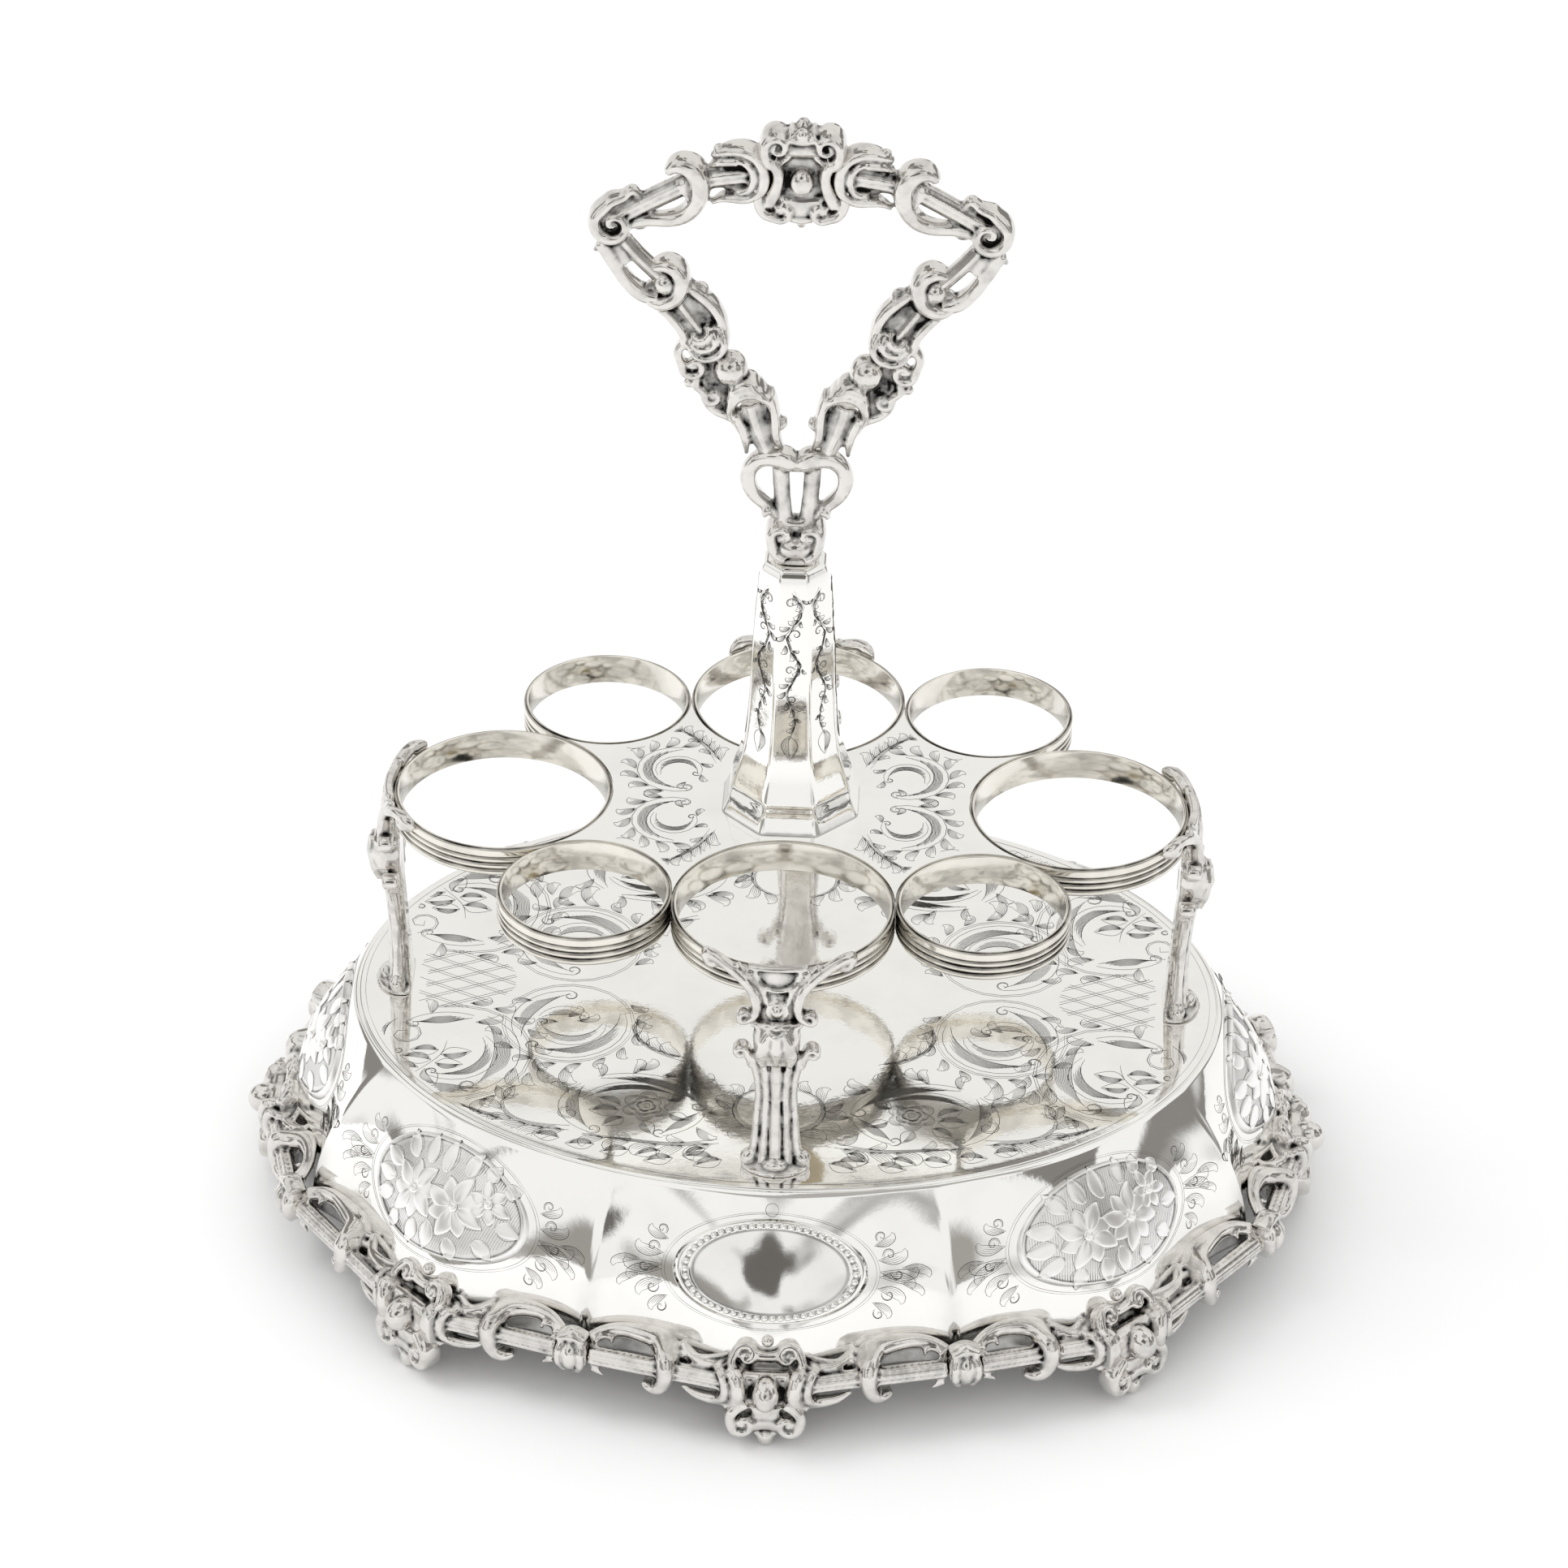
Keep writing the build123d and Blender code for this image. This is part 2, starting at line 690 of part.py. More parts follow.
def leg():
    """One leg in its own frame: foot at the origin, outward along +X, +Z up."""
    ring_base = deck_height - ring_height - plate_height
    height = deck_height + leg_top_rise - plate_height

    def place(out, across, share):
        return (out, across, height * share)

    waist = leg_waist_share
    head = leg_head_share
    band_face = ring_wall - leg_back + solder_gap
    arm_out = band_face + leg_arm_radius_low
    tip_out = band_face + leg_arm_radius_top
    ball_out = leg_pad_reach - leg_ball_radius
    ball_level = leg_pad_thickness + leg_ball_radius / 2
    pieces = [
        extrude(Ellipse(leg_pad_reach, leg_pad_half_width), leg_pad_thickness),
        bar(place(0, 0, 0), place(0, 0, head), leg_rib_radius, leg_rib_radius),
        ball(place(0, 0, leg_boss_share), leg_boss_radius),
        ball(place(leg_boss_radius, 0, leg_boss_share), leg_bead_radius),
        bar(place(0, 0, head), place(0, 0, leg_boss_share), leg_rib_radius, leg_boss_radius),
        bar(place(0, 0, leg_boss_share), place(0, 0, leg_bead_share), leg_boss_radius, leg_rib_radius),
        ball(place(arm_out, 0, leg_bead_share), leg_bead_radius),
        bar(
            place(0, 0, leg_boss_share),
            place(arm_out, 0, leg_bead_share),
            leg_boss_radius / 2,
            leg_arm_radius_low,
        ),
    ]
    for side in (-1, 1):
        foot_point = place(0, side * leg_rib_spread_foot, 0)
        waist_point = place(0, side * leg_rib_spread_waist, waist)
        head_point = place(0, side * leg_rib_spread_head, head)
        ear = place(0, side * leg_ear_spread, head)
        scroll = place(0, side * leg_scroll_spread, leg_scroll_share)
        knee = place(arm_out, side * leg_arm_knee_spread, leg_arm_knee_share)
        root = place(arm_out, 0, leg_bead_share)
        tip = (tip_out, side * leg_arm_spread, height - leg_arm_radius_top)
        pieces += [
            bar(foot_point, waist_point, leg_rib_radius, leg_rib_radius),
            bar(waist_point, head_point, leg_rib_radius, leg_rib_radius),
            ball(waist_point, leg_rib_radius),
            bar(head_point, ear, leg_rib_radius, leg_ear_radius),
            ball(ear, leg_ear_radius),
            hoop(scroll, (1, 0, 0), leg_scroll_ring, leg_scroll_wire),
            bar(scroll, place(0, 0, leg_boss_share), leg_scroll_wire, leg_boss_radius / 2),
            bar(root, knee, leg_arm_radius_low, leg_arm_radius_low),
            ball(knee, leg_arm_radius_low),
            bar(knee, tip, leg_arm_radius_low, leg_arm_radius_top),
            ball(tip, leg_arm_radius_top),
            ball((ball_out, side * leg_ball_spread, ball_level), leg_ball_radius),
        ]
    shield_base = height * leg_shield_share
    shield = Box(
        leg_shield_thickness,
        leg_shield_half_width * 2,
        height - shield_base,
        align=(Align.MIN, Align.CENTER, Align.MIN),
    )
    pieces.append(Pos(band_face, 0, shield_base) * shield)
    casting = fused(pieces)
    reach = leg_pad_half_width + leg_arm_spread
    behind = Box(reach, reach * 3, height * 3, align=(Align.MAX, Align.CENTER, Align.CENTER))
    below = Box(reach * 3, reach * 3, height, align=(Align.CENTER, Align.CENTER, Align.MAX))
    casting = casting - Pos(-leg_back, 0, 0) * behind - below
    band = Box(
        reach + band_face,
        reach * 3,
        height,
        align=(Align.MAX, Align.CENTER, Align.MIN),
    )
    casting = casting - Pos(band_face, 0, ring_base) * band
    stud_length = plate_thickness + leg_nut_thickness + leg_stud_overhang
    stud = Cylinder(leg_stud_radius, stud_length, align=(Align.CENTER, Align.CENTER, Align.MAX))
    return casting + Pos(stud_out, 0, 0) * stud


def leg_nuts():
    """Square nuts on the leg studs under the plate."""
    solids = []
    for place in legs.values():
        x, y = stud_place(*place)
        side = leg_nut_half_width * 2
        block = Box(side, side, leg_nut_thickness, align=(Align.CENTER, Align.CENTER, Align.MAX))
        bore = Cylinder(leg_stud_radius + stud_clearance, leg_nut_thickness * 3)
        solids.append(Pos(x, y, plate_height - plate_thickness) * (block - bore))
    return Compound(children=solids)


def stem_block(inset):
    """Eight-sided trumpet, its half width set in by a wall."""
    sections = []
    for share, half_width in zip(stem_level_shares, stem_half_widths):
        turn = 180 / stem_sides
        outline = RegularPolygon(half_width - inset, stem_sides, major_radius=False, rotation=turn)
        sections.append(Pos(0, 0, deck_height + stem_height * share) * outline)
    return loft(sections, ruled=True)


def stem():
    """Hollow eight-sided stem, closed at its top but for the hole of the tie rod."""
    hollow = stem_block(stem_wall) - Pos(0, 0, deck_height + stem_height) * Box(
        stem_half_widths[0] * 3,
        stem_half_widths[0] * 3,
        stem_wall * 2,
    )
    bore = Cylinder(tie_rod_radius + stud_clearance, (deck_height + stem_height) * 3)
    return stem_block(0) - hollow - bore


def above_deck(x, lift):
    """Point of the handle's plane, at a height above the deck."""
    return (x, 0, deck_height + lift)


def stem_collar():
    """Turned knob with a ring and two inward scrolls, seated on the stem."""
    centre = above_deck(0, stem_height + knob_lift)
    pieces = [
        ball(centre, knob_radius),
        hoop(above_deck(0, stem_height + knob_ring_wire), (0, 0, 1), knob_ring_radius, knob_ring_wire),
    ]
    for side in (-1, 1):
        scroll = above_deck(side * knob_scroll_spread, stem_height + knob_scroll_lift)
        pieces.append(ball(scroll, knob_scroll_radius))
    reach = knob_radius * 3
    foot_cut = Box(reach, reach, reach, align=(Align.CENTER, Align.CENTER, Align.MAX))
    head_cut = Box(reach, reach, reach, align=(Align.CENTER, Align.CENTER, Align.MIN))
    knob = fused(pieces) - Pos(0, 0, deck_height + stem_height) * foot_cut
    knob = knob - Pos(0, 0, deck_height + fork_foot_lift) * head_cut
    socket = Cylinder(
        tie_rod_radius + stud_clearance,
        tie_rod_socket + cut_overrun,
        align=(Align.CENTER, Align.CENTER, Align.MAX),
    )
    return knob - Pos(0, 0, deck_height + stem_height + tie_rod_socket) * socket


def tie_rod():
    """Rod from the knob down through the stem and deck to its nut."""
    foot_lift = -deck_thickness - deck_washer_thickness - deck_nut_thickness - tie_rod_overhang
    return bar(
        above_deck(0, foot_lift),
        above_deck(0, stem_height + tie_rod_socket),
        tie_rod_radius,
        tie_rod_radius,
    )


def tie_rod_washer():
    """Round washer under the deck."""
    hang = (Align.CENTER, Align.CENTER, Align.MAX)
    disc = Cylinder(deck_washer_radius, deck_washer_thickness, align=hang)
    bore = Cylinder(tie_rod_radius + stud_clearance, deck_washer_thickness * 3)
    return Pos(0, 0, deck_height - deck_thickness) * (disc - bore)


def tie_rod_nut():
    """Square nut that draws the stem down on the deck."""
    side = deck_nut_half_width * 2
    block = Box(side, side, deck_nut_thickness, align=(Align.CENTER, Align.CENTER, Align.MAX))
    bore = Cylinder(tie_rod_radius + stud_clearance, deck_nut_thickness * 3)
    return Pos(0, 0, deck_height - deck_thickness - deck_washer_thickness) * (block - bore)


def handle_fork():
    """Two pillars and two open loops that carry the arms of the handle."""
    neck = above_deck(0, fork_foot_lift)
    neck_top = above_deck(0, fork_foot_lift + fork_plate_radius)
    pieces = [bar(neck, neck_top, fork_seat_radius, fork_plate_radius)]
    for side in (-1, 1):
        foot_point = above_deck(side * fork_foot_x, fork_foot_lift)
        head = above_deck(side * fork_head_x, fork_head_lift)
        loop = above_deck(side * fork_loop_x, fork_loop_lift)
        pieces.append(bar(foot_point, head, fork_pillar_radius, fork_pillar_radius))
        pieces.append(bar(above_deck(0, fork_head_lift), head, fork_pillar_radius, fork_pillar_radius))
        pieces.append(ball(head, fork_plate_radius))
        pieces.append(hoop(loop, (0, 1, 0), fork_loop_radius, fork_loop_wire))
    reach = (fork_loop_x + fork_loop_radius) * 3
    cut = Box(reach, reach, reach, align=(Align.CENTER, Align.CENTER, Align.MAX))
    return fused(pieces) - Pos(0, 0, deck_height + fork_foot_lift) * cut


def handle_arm(side):
    """Lower arm: fluted shank, bead, scroll plate, wrapped collars and fluted tube."""
    start = above_deck(side * fork_head_x, fork_head_lift)
    head = above_deck(side * shank_head_x, shank_head_lift)
    bead = above_deck(side * arm_bead_x, arm_bead_lift)
    waist = above_deck(side * arm_waist_x, arm_waist_lift)
    shoulder = above_deck(side * arm_shoulder_x, arm_shoulder_lift)
    shank = Vector(*head) - Vector(*start)
    tube = Vector(*shoulder) - Vector(*waist)
    across = Vector(0, 1, 0)
    shank_wing = across.cross(shank.normalized()) * shank_wing_spread
    tube_wing = across.cross(tube.normalized()) * arm_wing_spread
    plate = above_deck(side * scroll_plate_x, scroll_plate_lift)
    low = above_deck(side * scroll_low_x, scroll_low_lift)
    pieces = [
        bar(start, head, shank_foot_radius, shank_radius),
        bar(head, bead, shank_radius, arm_bead_radius),
        bar(bead, waist, arm_bead_radius, arm_tube_radius),
        bar(waist, shoulder, arm_tube_radius, arm_tube_radius),
        ball(bead, arm_bead_radius),
        hoop(head, shank, shank_collar_radius, shank_collar_wire),
        hoop(waist, tube, shank_collar_radius, shank_collar_wire),
        hoop(shoulder, tube, shank_collar_radius, shank_collar_wire),
        hoop(plate, across, scroll_plate_ring, scroll_plate_wire),
        ball(plate, scroll_bead_radius),
        bar(bead, plate, scroll_plate_ring, scroll_plate_wire),
        hoop(low, across, scroll_low_ring, scroll_plate_wire),
        ball(low, scroll_plate_wire),
        bar(head, low, scroll_plate_ring, scroll_plate_wire),
        bar(low, plate, scroll_plate_wire, scroll_plate_wire),
    ]
    for hand in (-1, 1):
        shank_tip = Vector(*start) + shank * wing_foot_share + shank_wing * hand
        tube_tip = Vector(*waist) + tube * wing_foot_share + tube_wing * hand
        pieces.append(bar(tuple(shank_tip), head, shank_wing_radius, shank_wing_radius))
        pieces.append(bar(tuple(tube_tip), shoulder, shank_wing_radius, shank_wing_radius))
        pieces.append(bar(tuple(tube_tip), waist, shank_wing_radius, shank_wing_radius))
    return fused(pieces) - handle_fork()


def side_loop(start, end, bulge):
    """Open strap that leaves a rod, stands off to one side and returns to it."""
    run = Vector(*end) - Vector(*start)
    middle = Vector(*start) + run * loop_bar_reach_share + Vector(*bulge)
    middle = tuple(middle)
    return [
        bar(start, middle, loop_bar_wire, loop_bar_wire),
        bar(middle, end, loop_bar_wire, loop_bar_wire),
        ball(middle, loop_bar_wire),
    ]


def handle_side(side):
    """Upper side of the handle: side rod, elbow scroll, sloping rod and bow rod."""
    shoulder = Vector(*above_deck(side * arm_shoulder_x, arm_shoulder_lift))
    elbow = Vector(*above_deck(side * elbow_x, elbow_lift))
    band = Vector(*above_deck(side * bow_band_x, bow_band_lift))
    end = Vector(*above_deck(side * bow_end_x, bow_end_lift))
    rise = elbow - shoulder
    start = shoulder + rise.normalized() * (shank_collar_wire + solder_gap)
    slope = band - elbow
    bow = end - band
    across = Vector(0, 1, 0)
    outside = across.cross(rise.normalized()) * (side * loop_bar_bulge)
    below = across.cross(slope.normalized()) * (side * loop_bar_bulge)
    leaf = band + bow * bow_leaf_share + across.cross(bow.normalized()) * (-side * bow_leaf_rise)
    pieces = [
        bar(tuple(start), tuple(elbow), side_rod_radius, side_rod_radius),
        bar(tuple(elbow), tuple(band), bow_rod_radius, bow_rod_radius),
        bar(tuple(band), tuple(end), bow_rod_radius, bow_rod_radius),
        hoop(tuple(elbow), (0, 1, 0), elbow_ring_radius, elbow_wire_radius),
        hoop(tuple(band), tuple(slope), bow_band_ring, bow_band_wire),
        hoop(tuple(end), tuple(bow), bow_band_ring, bow_band_wire),
        bar(tuple(leaf), tuple(end), spur_tip_radius, spur_root_radius),
        bar(tuple(leaf), tuple(band), spur_tip_radius, spur_root_radius),
    ]
    pieces += side_loop(tuple(elbow), tuple(start), tuple(outside))
    pieces += side_loop(tuple(elbow), tuple(band), tuple(below))
    return fused(pieces) - handle_crest()


def handle_crest():
    """Double-scroll cartouche with an oval boss, a lower scroll and a pendant bead."""
    boss = above_deck(0, crest_boss_lift)
    front = (0, -crest_core_half_depth, deck_height + crest_boss_lift)
    top = above_deck(0, crest_top_lift)
    pendant = above_deck(0, crest_pendant_lift)
    core = Cylinder(crest_core_radius, crest_core_half_depth * 2)
    pieces = [
        Pos(*boss) * Rot(90, 0, 0) * core,
        ball(front, crest_boss_radius),
        ball((0, crest_core_half_depth, deck_height + crest_boss_lift), crest_boss_radius),
        ball(top, crest_top_radius),
        ball(pendant, crest_pendant_radius),
    ]
    for side in (-1, 1):
        scroll = above_deck(side * crest_scroll_x, crest_scroll_lift)
        low = above_deck(side * crest_low_x, crest_low_lift)
        pieces.append(hoop(scroll, (0, 1, 0), crest_scroll_ring, crest_scroll_wire))
        pieces.append(ball(scroll, crest_top_radius))
        pieces.append(bar(top, scroll, crest_top_radius, crest_scroll_wire))
        pieces.append(bar(scroll, boss, crest_scroll_wire, crest_boss_radius))
        pieces.append(hoop(low, (0, 1, 0), crest_low_ring, crest_low_wire))
        pieces.append(ball(low, crest_pendant_radius))
        pieces.append(bar(low, boss, crest_low_wire, crest_boss_radius))
        pieces.append(bar(low, pendant, crest_low_wire, crest_pendant_radius))
    return fused(pieces)


nodes = {
    "base_plate": base_plate(),
    "base_skirt": base_skirt(),
    "border_knots": border_knots(),
    "deck_plate": deck_plate(),
    "leg_nuts": leg_nuts(),
    "stem": stem(),
    "stem_collar": stem_collar(),
    "tie_rod": tie_rod(),
    "tie_rod_washer": tie_rod_washer(),
    "tie_rod_nut": tie_rod_nut(),
    "handle_fork": handle_fork(),
    "handle_arm_left": handle_arm(-1),
    "handle_arm_right": handle_arm(1),
    "handle_side_left": handle_side(-1),
    "handle_side_right": handle_side(1),
    "handle_crest": handle_crest(),
}
for number, panel in enumerate(panels):
    nodes["border_" + panel] = border_segment(number)
    nodes["foot_" + panel] = foot(number)
for name, (x, y, angle) in legs.items():
    nodes["leg_" + name] = Pos(x, y, plate_height) * Rot(0, 0, angle) * leg()
for name, (x, y, radius) in rings.items():
    nodes[name] = bottle_ring(x, y, radius)

for name, shape in nodes.items():
    export_step(shape, "parts/" + name + ".step")
    print(name, len(shape.solids()), round(shape.volume, 1))
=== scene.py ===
import logging
from dataclasses import dataclass, field, replace
from enum import Enum
from math import atan, cos, pi, radians, sin, sqrt
from typing import Callable, Dict, List, Optional, Sequence, Tuple

import bpy
import numpy as np
from bpy.types import Material, Mesh, NodeSocket, NodeTree
from mathutils import Matrix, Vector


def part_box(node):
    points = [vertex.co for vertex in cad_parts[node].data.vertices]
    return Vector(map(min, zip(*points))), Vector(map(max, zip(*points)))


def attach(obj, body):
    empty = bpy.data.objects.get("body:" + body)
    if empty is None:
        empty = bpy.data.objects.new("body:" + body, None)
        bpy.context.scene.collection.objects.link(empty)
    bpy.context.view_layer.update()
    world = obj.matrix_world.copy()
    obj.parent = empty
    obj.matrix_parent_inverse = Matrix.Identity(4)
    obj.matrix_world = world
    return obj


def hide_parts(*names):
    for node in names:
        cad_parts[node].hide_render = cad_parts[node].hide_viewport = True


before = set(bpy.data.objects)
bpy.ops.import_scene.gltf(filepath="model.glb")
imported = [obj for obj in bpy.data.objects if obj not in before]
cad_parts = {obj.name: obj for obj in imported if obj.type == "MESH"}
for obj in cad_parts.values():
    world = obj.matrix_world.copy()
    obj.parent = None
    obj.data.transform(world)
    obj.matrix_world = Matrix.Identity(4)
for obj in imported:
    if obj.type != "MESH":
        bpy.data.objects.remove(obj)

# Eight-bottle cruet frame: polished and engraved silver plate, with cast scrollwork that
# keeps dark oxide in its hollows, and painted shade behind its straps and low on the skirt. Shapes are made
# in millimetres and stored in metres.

log = logging.getLogger("cruet_frame")
Array = np.ndarray
Surface = Callable[[Array], Tuple[Array, Array]]
METRE = 0.001
FULL_TURN = 2.0 * pi
# Vertex attribute of darkening: oxide in hollows, and painted shade behind the straps and low on the skirt
OXIDE_AND_SHADE = "oxide_and_shade"

# Driving sizes, in millimetres, as the frame's pieces have them
DECK = 106.0
PLATE_TOP = 52.1
PLATE_THICK = 1.6
PLATE_LONG = 100.7
PLATE_WIDE = 76.7
BORDER_HEIGHT = 15.2
# Grain of the melt of a casting, and the power that squares the section of its straps
VOXEL = 0.4
SMOOTH_ROUNDS = 2
SQUARENESS = 0.72
# Lift of a vertex by relaxing that counts as a full hollow, for grooves and for recesses
GROOVE_LIFT = 0.11
RECESS_LIFT = 0.42

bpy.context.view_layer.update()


class Slot(Enum):
    """Material slots of the record."""

    POLISHED = "polished_silver"
    CAST = "cast_silver"
    RING = "ring_silver"
    FITTING = "bright_fittings"


def linear(code: str) -> Tuple[float, float, float, float]:
    """Turn an sRGB hex colour into a linear one.

    Args:
        code: Six hex digits.
    Returns:
        Red, green, blue and alpha, linear.
    """
    parts = [int(code[at:at + 2], 16) / 255 for at in (0, 2, 4)]
    lit = [part / 12.92 if part <= 0.04045 else ((part + 0.055) / 1.055) ** 2.4 for part in parts]
    return lit[0], lit[1], lit[2], 1.0


def add_node(tree: NodeTree, kind: str, inputs: Optional[Dict[object, object]] = None, out: object = 0,
        **settings: object) -> Optional[NodeSocket]:
    """Add one shader node and give one of its outputs.

    Args:
        tree: Node tree to add to.
        kind: Node type, without its first word.
        inputs: Values, or sockets to link, by the name or number of the input.
        out: Name or number of the output.
        settings: Attributes of the node.
    Returns:
        The output, or None where the node has none.
    """
    node = tree.nodes.new("ShaderNode" + kind)
    for key, value in settings.items():
        setattr(node, key, value)
    for key, value in (inputs or {}).items():
        if isinstance(value, NodeSocket):
            tree.links.new(value, node.inputs[key])
        else:
            node.inputs[key].default_value = value
    return node.outputs[out] if len(node.outputs) else None


def remapped(tree: NodeTree, value: NodeSocket, low: float, high: float, to_low: float,
        to_high: float) -> NodeSocket:
    """Value taken evenly from one span to another, held at its ends.

    Args:
        tree: Node tree to add to.
        value: Value to take.
        low: Start of the span that it comes from.
        high: End of that span.
        to_low: Start of the span that it is taken to.
        to_high: End of that span.
    Returns:
        The value in the second span.
    """
    span = {"Value": value, "From Min": low, "From Max": high, "To Min": to_low, "To Max": to_high}
    return add_node(tree, "MapRange", span)


def link(thing: bpy.types.Object) -> None:
    """Put an object into the scene."""
    bpy.context.scene.collection.objects.link(thing)


@dataclass
class Skin:
    """A closed surface as points in millimetres with four- and three-cornered faces."""

    points: Array
    quads: Array
    tris: Array

    @staticmethod
    def joined(skins: Sequence["Skin"]) -> "Skin":
        """All the given surfaces as one, each keeping its own faces."""
        starts = np.cumsum([0] + [len(skin.points) for skin in skins[:-1]])
        return Skin(np.concatenate([skin.points for skin in skins]),
            np.concatenate([skin.quads + start for skin, start in zip(skins, starts)]),
            np.concatenate([skin.tris + start for skin, start in zip(skins, starts)]))


def lattice(rows: int, columns: int, wrap_rows: bool) -> Array:
    """Corner numbers of the quads between closed rows of points.

    Args:
        rows: How many rows.
        columns: Points in a row.
        wrap_rows: Whether the last row joins the first.
    Returns:
        An array of quads, wound so that columns x rows points outwards.
    """
    row = np.arange(rows if wrap_rows else rows - 1)[:, None]
    column = np.arange(columns)[None, :]
    next_row = (row + 1) % rows
    next_column = (column + 1) % columns
    corners = np.stack([row * columns + column, row * columns + next_column,
        next_row * columns + next_column, next_row * columns + column], axis=-1)
    return corners.reshape(-1, 4)


def capped(grid: Array) -> Skin:
    """Close a tube of point rings with a pole at each end.

    Args:
        grid: Points of shape (rows, columns, 3), each row a ring.
    Returns:
        A closed surface, whose last two points are the poles.
    """
    rows, columns = grid.shape[:2]
    points = np.concatenate([grid.reshape(-1, 3), [grid[0].mean(axis=0)], [grid[-1].mean(axis=0)]])
    here = np.arange(columns)
    after = (here + 1) % columns
    first = np.stack([after, here, np.full(columns, rows * columns)], axis=-1)
    base = (rows - 1) * columns
    last = np.stack([base + here, base + after, np.full(columns, rows * columns + 1)], axis=-1)
    return Skin(points, lattice(rows, columns, False), np.concatenate([first, last]))


def looped(grid: Array) -> Skin:
    """Surface of a grid that closes on itself both ways, such as a ring."""
    rows, columns = grid.shape[:2]
    return Skin(grid.reshape(-1, 3), lattice(rows, columns, True), np.zeros((0, 3), int))


def unit(vectors: Array) -> Array:
    """Vectors of length one."""
    return vectors / np.maximum(np.linalg.norm(vectors, axis=-1, keepdims=True), 1e-9)


def smooth_line(points: Sequence[complex], count: int) -> Array:
    """Natural cubic curve through flat points, spaced by the chords between them.

    The second derivatives at the points solve the tridiagonal system, and each span is the
    cubic that has them at its ends.

    Args:
        points: Points as complex numbers.
        count: How many points to return.
    Returns:
        Complex points, evenly spaced along the chords.
    """
    knots = np.asarray(points, complex)
    spans = np.abs(np.diff(knots))
    reach = np.concatenate([[0.0], np.cumsum(spans)])
    last = len(knots) - 1
    matrix = np.eye(len(knots))
    inner = np.arange(1, last)
    matrix[inner, inner - 1] = spans[:-1]
    matrix[inner, inner] = 2 * (spans[:-1] + spans[1:])
    matrix[inner, inner + 1] = spans[1:]
    slopes = np.diff(knots) / spans
    right = np.zeros(len(knots), complex)
    right[inner] = 6 * np.diff(slopes)
    bend = np.linalg.solve(matrix, right)
    where = np.linspace(0, reach[-1], count)
    span = np.clip(np.searchsorted(reach, where, side="right") - 1, 0, last - 1)
    back = (reach[span + 1] - where) / spans[span]
    on = 1 - back
    curve = (back ** 3 - back) * bend[span] + (on ** 3 - on) * bend[span + 1]
    return back * knots[span] + on * knots[span + 1] + curve * spans[span] ** 2 / 6


def spiral(eye: complex, start_radius: float, end_radius: float, start: float, turn: float,
        count: int = 9) -> List[complex]:
    """Points of a spiral whose radius falls evenly with its angle.

    Args:
        eye: Its middle.
        start_radius: Radius at its start.
        end_radius: Radius at its end.
        start: Angle of its start, in degrees.
        turn: Angle it turns through, positive to the left.
        count: How many points.
    Returns:
        Complex points.
    """
    share = np.linspace(0, 1, count)
    radius = start_radius + (end_radius - start_radius) * share
    return list(eye + radius * np.exp(1j * np.radians(start + turn * share)))


def turns_of(count: int) -> Array:
    """Angles that share a full turn evenly."""
    return np.arange(count) * FULL_TURN / count


def about_axis(reach: object, angle: Array, height: object) -> Array:
    """Space points at a distance and an angle about the upright axis, and at a height."""
    return np.stack(np.broadcast_arrays(reach * np.cos(angle), reach * np.sin(angle), height), axis=-1)


def ellipse(reach: Tuple[float, float], angle: Array) -> Array:
    """Flat points of an oval at the given angles."""
    return reach[0] * np.cos(angle) + 1j * reach[1] * np.sin(angle)


def mirrored(flat: Array) -> Array:
    """Flat points mirrored left to right."""
    return -np.conj(flat)


@dataclass(frozen=True)
class Seat:
    """A flat working plane in space: where its origin is, its right and its up."""

    origin: Tuple[float, float, float]
    right: Tuple[float, float, float]
    up: Tuple[float, float, float] = (0.0, 0.0, 1.0)

    @property
    def outward(self) -> Array:
        """Direction that faces the viewer of the plane."""
        return unit(np.cross(self.right, self.up))

    def at(self, flat: Array, out: object = 0.0) -> Array:
        """Points in space of flat points, lifted off the plane."""
        flat = np.asarray(flat, complex)
        lift = np.broadcast_to(np.asarray(out, float), flat.shape)
        return (np.asarray(self.origin, float) + flat.real[..., None] * np.asarray(self.right, float)
            + flat.imag[..., None] * np.asarray(self.up, float) + lift[..., None] * self.outward)

    def local(self, points: Array) -> Tuple[Array, Array]:
        """Flat places of space points on the plane, and how far they stand off it."""
        away = points - np.asarray(self.origin)
        return away @ np.asarray(self.right) + 1j * (away @ np.asarray(self.up)), away @ self.outward


def carried(path: Array, normal: Array, across: object, thick: object, sides: int = 16, flutes: int = 0,
        depth: float = 0.0) -> Skin:
    """Rounded profile carried along a path and closed at both ends.

    A point is the path, plus the side times the half width times a power of the angle's
    cosine, plus the normal times the half thickness times that power of its sine.

    Args:
        path: Points in space.
        normal: Direction of the thickness.
        across: Half width, one number or one for each point.
        thick: Half thickness, likewise.
        sides: Points round the profile.
        flutes: Flutes along it, which shrink the profile by a cosine.
        depth: Their depth as a share of the radius.
    Returns:
        A closed surface.
    """
    ahead = unit(np.gradient(path, axis=0))
    side = unit(np.cross(np.broadcast_to(normal, path.shape), ahead))
    lift = unit(np.cross(ahead, side))
    angle = turns_of(sides)
    shrink = 1 - depth * (0.5 + 0.5 * np.cos(flutes * angle)) if flutes else np.ones(sides)
    width = np.broadcast_to(np.asarray(across, float), (len(path),))[:, None, None]
    height = np.broadcast_to(np.asarray(thick, float), (len(path),))[:, None, None]
    power = 1.0 if flutes else SQUARENESS
    ring_side = (np.sign(np.cos(angle)) * np.abs(np.cos(angle)) ** power * shrink)[None, :, None]
    ring_lift = (np.sign(np.sin(angle)) * np.abs(np.sin(angle)) ** power * shrink)[None, :, None]
    grid = path[:, None] + side[:, None] * width * ring_side + lift[:, None] * height * ring_lift
    return capped(grid)


